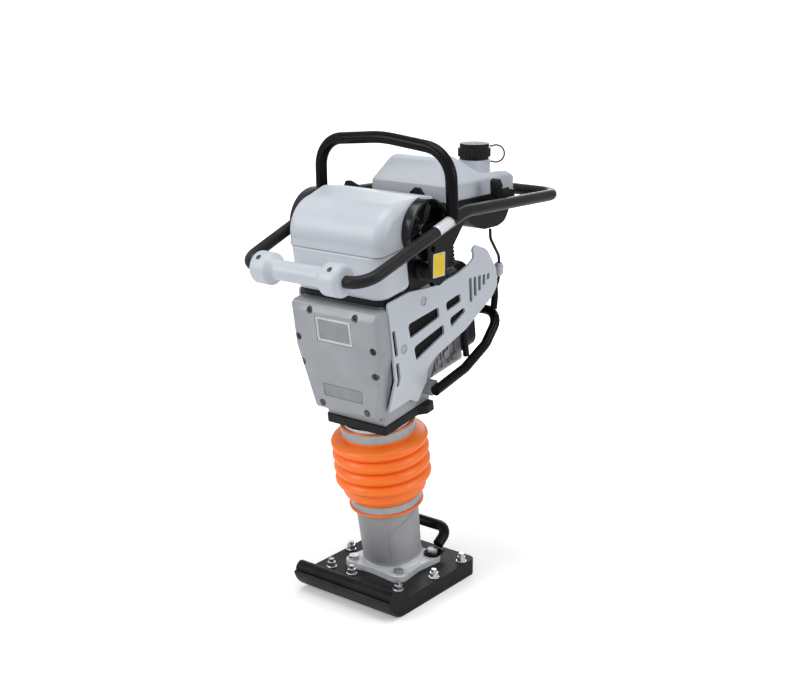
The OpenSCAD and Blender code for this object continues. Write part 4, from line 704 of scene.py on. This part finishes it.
def dished(name, side, middle, radius, root, crown):
    """A closed drum about the x axis from root to crown: a hub, a floor sunk below the rim with six webs (a high
    power of a cosine), and a rounded rim. It keeps above the mounts, and inside the hood above the seam."""
    centre_r, floor_sink, web_high, steps, tray_step = 0.0004, 0.0171, 0.0062, 12, 0.014
    hub = np.array([(centre_r, 0.0110), (0.0120, 0.0110), (0.0135, 0.0125), (0.0150, 0.0163)])
    rim = np.array([(0.0525, 0.0155), (0.0540, 0.0035), (0.0555, 0.0010), (0.0600, 0), (0.0623, 0.0010),
                    (cap_r, 0.0037)]) * (radius / cap_r, 1)
    floor = np.linspace(0.016, 0.0505 / cap_r * radius, steps)
    r = np.concatenate([[centre_r], hub[:, 0], floor, rim[:, 0], (radius, centre_r)])
    x = np.concatenate([[root], crown - hub[:, 1], np.full(steps, crown - floor_sink), crown - rim[:, 1],
                        (root, root)])
    web = np.zeros(len(r))
    web[5:5 + steps] = web_high * np.sin(np.linspace(0.25, math.pi - 0.25, steps)) ** 0.3
    a = np.linspace(0, 2 * math.pi, 240, endpoint=False)
    out = x[:, None] + web[:, None] * np.cos(3 * a) ** 40
    dish = np.stack([side * out, middle[0] + r[:, None] * np.cos(a), middle[1] + r[:, None] * np.sin(a)], -1)
    inside = (dish[..., 1] < tray_step) & (out < hood_half)
    dish[..., 2] = np.maximum(dish[..., 2], np.where(inside, seam + 2 * seam_gap, cover_low))
    piece = skin(name, leaned(dish[:, ::side]), cap_black, caps=False, crease=40)
    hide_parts("cleaner_caps")
    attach(piece, "machine")


dished("cleaner_cap.left", 1, cap_at, cap_r, 0.1085, 0.1460)
dished("cleaner_cap.right", -1, cap_at, cap_r, 0.1050, 0.1238)
dished("cleaner_cover_cap", -1, cover_at, cover_r, 0.1246, 0.1500)
dress(filter_paper, "filter_element")
eased("rubber_mounts", 0.0015, mount_rubber)
eased("mount_bolts", 0.0008, zinc)

# Handle. One loop of steel tube in satin black from the roller back to the hand grip, a gloss black lifting hoop
# welded on top, and pressed bracket plates that hang on the rubber mounts. A plain patch is stuck on the left plate,
# and one round the tube above it.
pivot = np.array((0.0, -0.064245, 0.738036))
satin_black = surface("satin_black_enamel", (0.012, 0.012, 0.0115), (0.018, 0.0175, 0.017), grain=0.0012,
                      depth=0.12, rough=0.36, dust=(0.3, 0.29, 0.27), dusty=0.035, shine=0.18)
half, tube_r, roller_y, roller_z = 0.1745, 0.0125, -0.232, 0.017
side_run = [(half - 0.0605, roller_y, roller_z), (half - 0.016, roller_y, roller_z), (half, 0.072, 0.117),
            (half, 0.432, 0.107)]
loop_line = bends(side_run + [(-x, y, z) for x, y, z in side_run[::-1]],
                  (0.045, 0.110, 0.045, 0.045, 0.110, 0.045))
loop = tube("handle_loop", loop_line + pivot, tube_r, satin_black, 40)
hoop_side = [(half - 0.002, 0.030, 0.1062), (half - 0.005, 0.024, 0.241), (0, 0.022, 0.258)]
hoop_line = bends(hoop_side + [(-x, y, z) for x, y, z in hoop_side[:-1][::-1]], (0.065, 0.3, 0.065))
hoop = tube("lifting_hoop", hoop_line + pivot, tube_r, black_gloss, 40)
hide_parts("handle_frame")
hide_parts("handle_frame")
for piece in (loop, hoop):
    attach(piece, "handle")
eased("handle_brackets", 0.001, base_black)


def sided(p):
    """Points drawn as back, up and out from the mounts, put on the handle."""
    return np.stack([p[..., 2], p[..., 0], p[..., 1]], -1) + pivot


patch_yellow = surface("patch_yellow", (0.80, 0.56, 0.02), (0.74, 0.50, 0.015), grain=0.0008, depth=0.05,
                       rough=0.4, mottle=0.02)
patch_pale = surface("patch_pale", (0.72, 0.73, 0.77), (0.66, 0.67, 0.71), grain=0.0008, depth=0.05, rough=0.35,
                     metal=0.3, mottle=0.02)
patch = closed([(-0.020, -0.008), (0.020, -0.008), (0.020, 0.041), (-0.020, 0.041)], 0.002, 5)
patch_mid, film = np.array((0, 0.0165)), 0.0002
for name, inset, out_x, finish in (("plain_patch_edge", 1.0, 0.16175, patch_pale),
                                   ("plain_patch", 0.93, 0.16195, patch_yellow)):
    outline = (patch - patch_mid) * inset + patch_mid
    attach(slab(name, outline, out_x, out_x + film, sided, finish, 0.00005), "handle")
run = np.array(side_run[1:3])
toward = (run[1] - run[0]) / np.linalg.norm(run[1] - run[0])
outward = np.array((1.0, 0, 0)) - toward[0] * toward
outward /= np.linalg.norm(outward)
upward = np.cross(outward, toward)
wrap_half, wrap_proud = 0.022, 0.0004
span = (np.linspace(-wrap_half, wrap_half, 8) - run[0][1]) / toward[1]
a = np.radians(np.linspace(-15, 125, 30))
wrap_line = run[0] + span[:, None] * toward + pivot
around = np.cos(a)[:, None] * outward + np.sin(a)[:, None] * upward
wrapped = wrap_line[:, None] + (tube_r + wrap_proud) * around
tube_patch = skin("plain_tube_patch", wrapped, patch_pale, wrap=False, caps=False)
thick = tube_patch.modifiers.new("thickness", "SOLIDIFY")
thick.thickness = film
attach(tube_patch, "handle")

# Guide roller. A white moulded sleeve with two thick hubs, free on a zinc-plated bar across the front of the loop.
# A sunk screw shows in each hub.
eased("guide_roller", 0, cool_white, crease=40)
eased("roller_shaft", 0.0005, zinc)
screw_profile = [(0.0003, -0.0010), (0.0003, 0.0001), (0.0034, 0.0001), (0.0040, 0.0006), (0.0050, 0.0006),
                 (0.0056, 0.0001), (0.0056, -0.0010), (0.0003, -0.0010)]
rise, screw_x, hub_r = math.radians(49), 0.092, 0.033
for name, side in (("left", 1), ("right", -1)):
    screw = lathe("roller_screw." + name, screw_profile, dark_screw, lambda p: np.stack([
        side * screw_x + p[..., 0],
        roller_y - (hub_r + p[..., 2]) * math.cos(rise) + p[..., 1] * math.sin(rise),
        roller_z + (hub_r + p[..., 2]) * math.sin(rise) + p[..., 1] * math.cos(rise)], -1) + pivot, 32)
    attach(screw, "roller")

# Fuel tank. A blow-moulded white tank with a filler tower and a black scalloped cap on a tether, over a deep black
# well. A clip and a gusset of black plastic hold its front, and the throttle lever stands beside it.
eased("fuel_tank", 0.007, cool_white, 4)
eased("tank_cap", 0.0012, black_plastic)
eased("tank_well", 0.006, black_plastic, 3)
eased("throttle_lever", 0.0015, black_plastic)
clip = closed([(0.008, 0.1072), (0.044, 0.1072), (0.043, 0.136), (0.033, 0.1465), (0.021, 0.1465), (0.009, 0.136)],
              0.003, 5)
gusset = closed([(-0.171, 0.112), (-0.1005, 0.112), (-0.1005, 0.1185), (-0.129, 0.1375), (-0.150, 0.1455),
                 (-0.164, 0.1440), (-0.171, 0.128)], 0.002, 5)
holder_t = 0.006
for name, outline, face_y in (("tank_clip", clip, 0.1015), ("tank_gusset", gusset, 0.0970)):
    holder = slab(name, outline, -face_y - holder_t, -face_y,
                  lambda p: np.stack([p[..., 0], -p[..., 2], p[..., 1]], -1) + pivot, black_plastic, 0.001)
    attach(holder, "handle")
filler_at, aside, upright = pivot + (0.050, 0.279, 0), np.array((0.788, 0.616, 0)), np.array((0, 0, 1))
ring_at, ring_r, tether_r = np.array((0.047, 0.2015)), 0.0185, 0.0018
turn = np.radians(np.linspace(125, -120, 40))
wire = np.vstack([(0.0335, 0.2195), ring_at + ring_r * np.column_stack([np.cos(turn), np.sin(turn)]),
                  (0.0362, 0.1830)])
tether_line = filler_at + wire[:, :1] * aside + wire[:, 1:] * upright
tether = tube("cap_tether", tether_line, tether_r, hose_rubber, 12)
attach(tether, "handle")

# Fuel line. Black rubber hose, pushed on the tap in the tank's well, through a white inline filter and forward to the
# carburettor.
filter_at = np.array((0.097, 0.250, 0.668))
line_x, line_z, line_r = 0.09865, 0.6395, 0.00325
line_top = pivot + np.array((0.094, 0.281, 0.0406))
fuel_corners = np.vstack([
    line_top - (0, 0, 0.0004), line_top - (0, -0.002, 0.022), filter_at + (0, 0, 0.044), filter_at - (0, 0, 0.030),
    filter_at - (0.0031, 0.030, 0.030), leaned((line_x, 0.286, line_z - 0.038)), leaned((line_x, 0.215, line_z)),
    leaned((line_x, 0.1923, line_z))])
fuel_hose = tube("fuel_hose", bends(fuel_corners, 0.026, 12), line_r, hose_rubber, 20)
filter_profile = [(0.006, 0), (0.0085, 0.0012), (0.0095, 0.006), (0.011, 0.0065), (0.011, 0.0235), (0.0095, 0.024),
                  (0.0085, 0.0288), (0.006, 0.030), (0.006, 0)]
fuel_filter = lathe("fuel_filter", filter_profile, cool_white, lambda p: p + filter_at, 48)
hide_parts("fuel_line")
for piece in (fuel_hose, fuel_filter):
    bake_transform(piece)
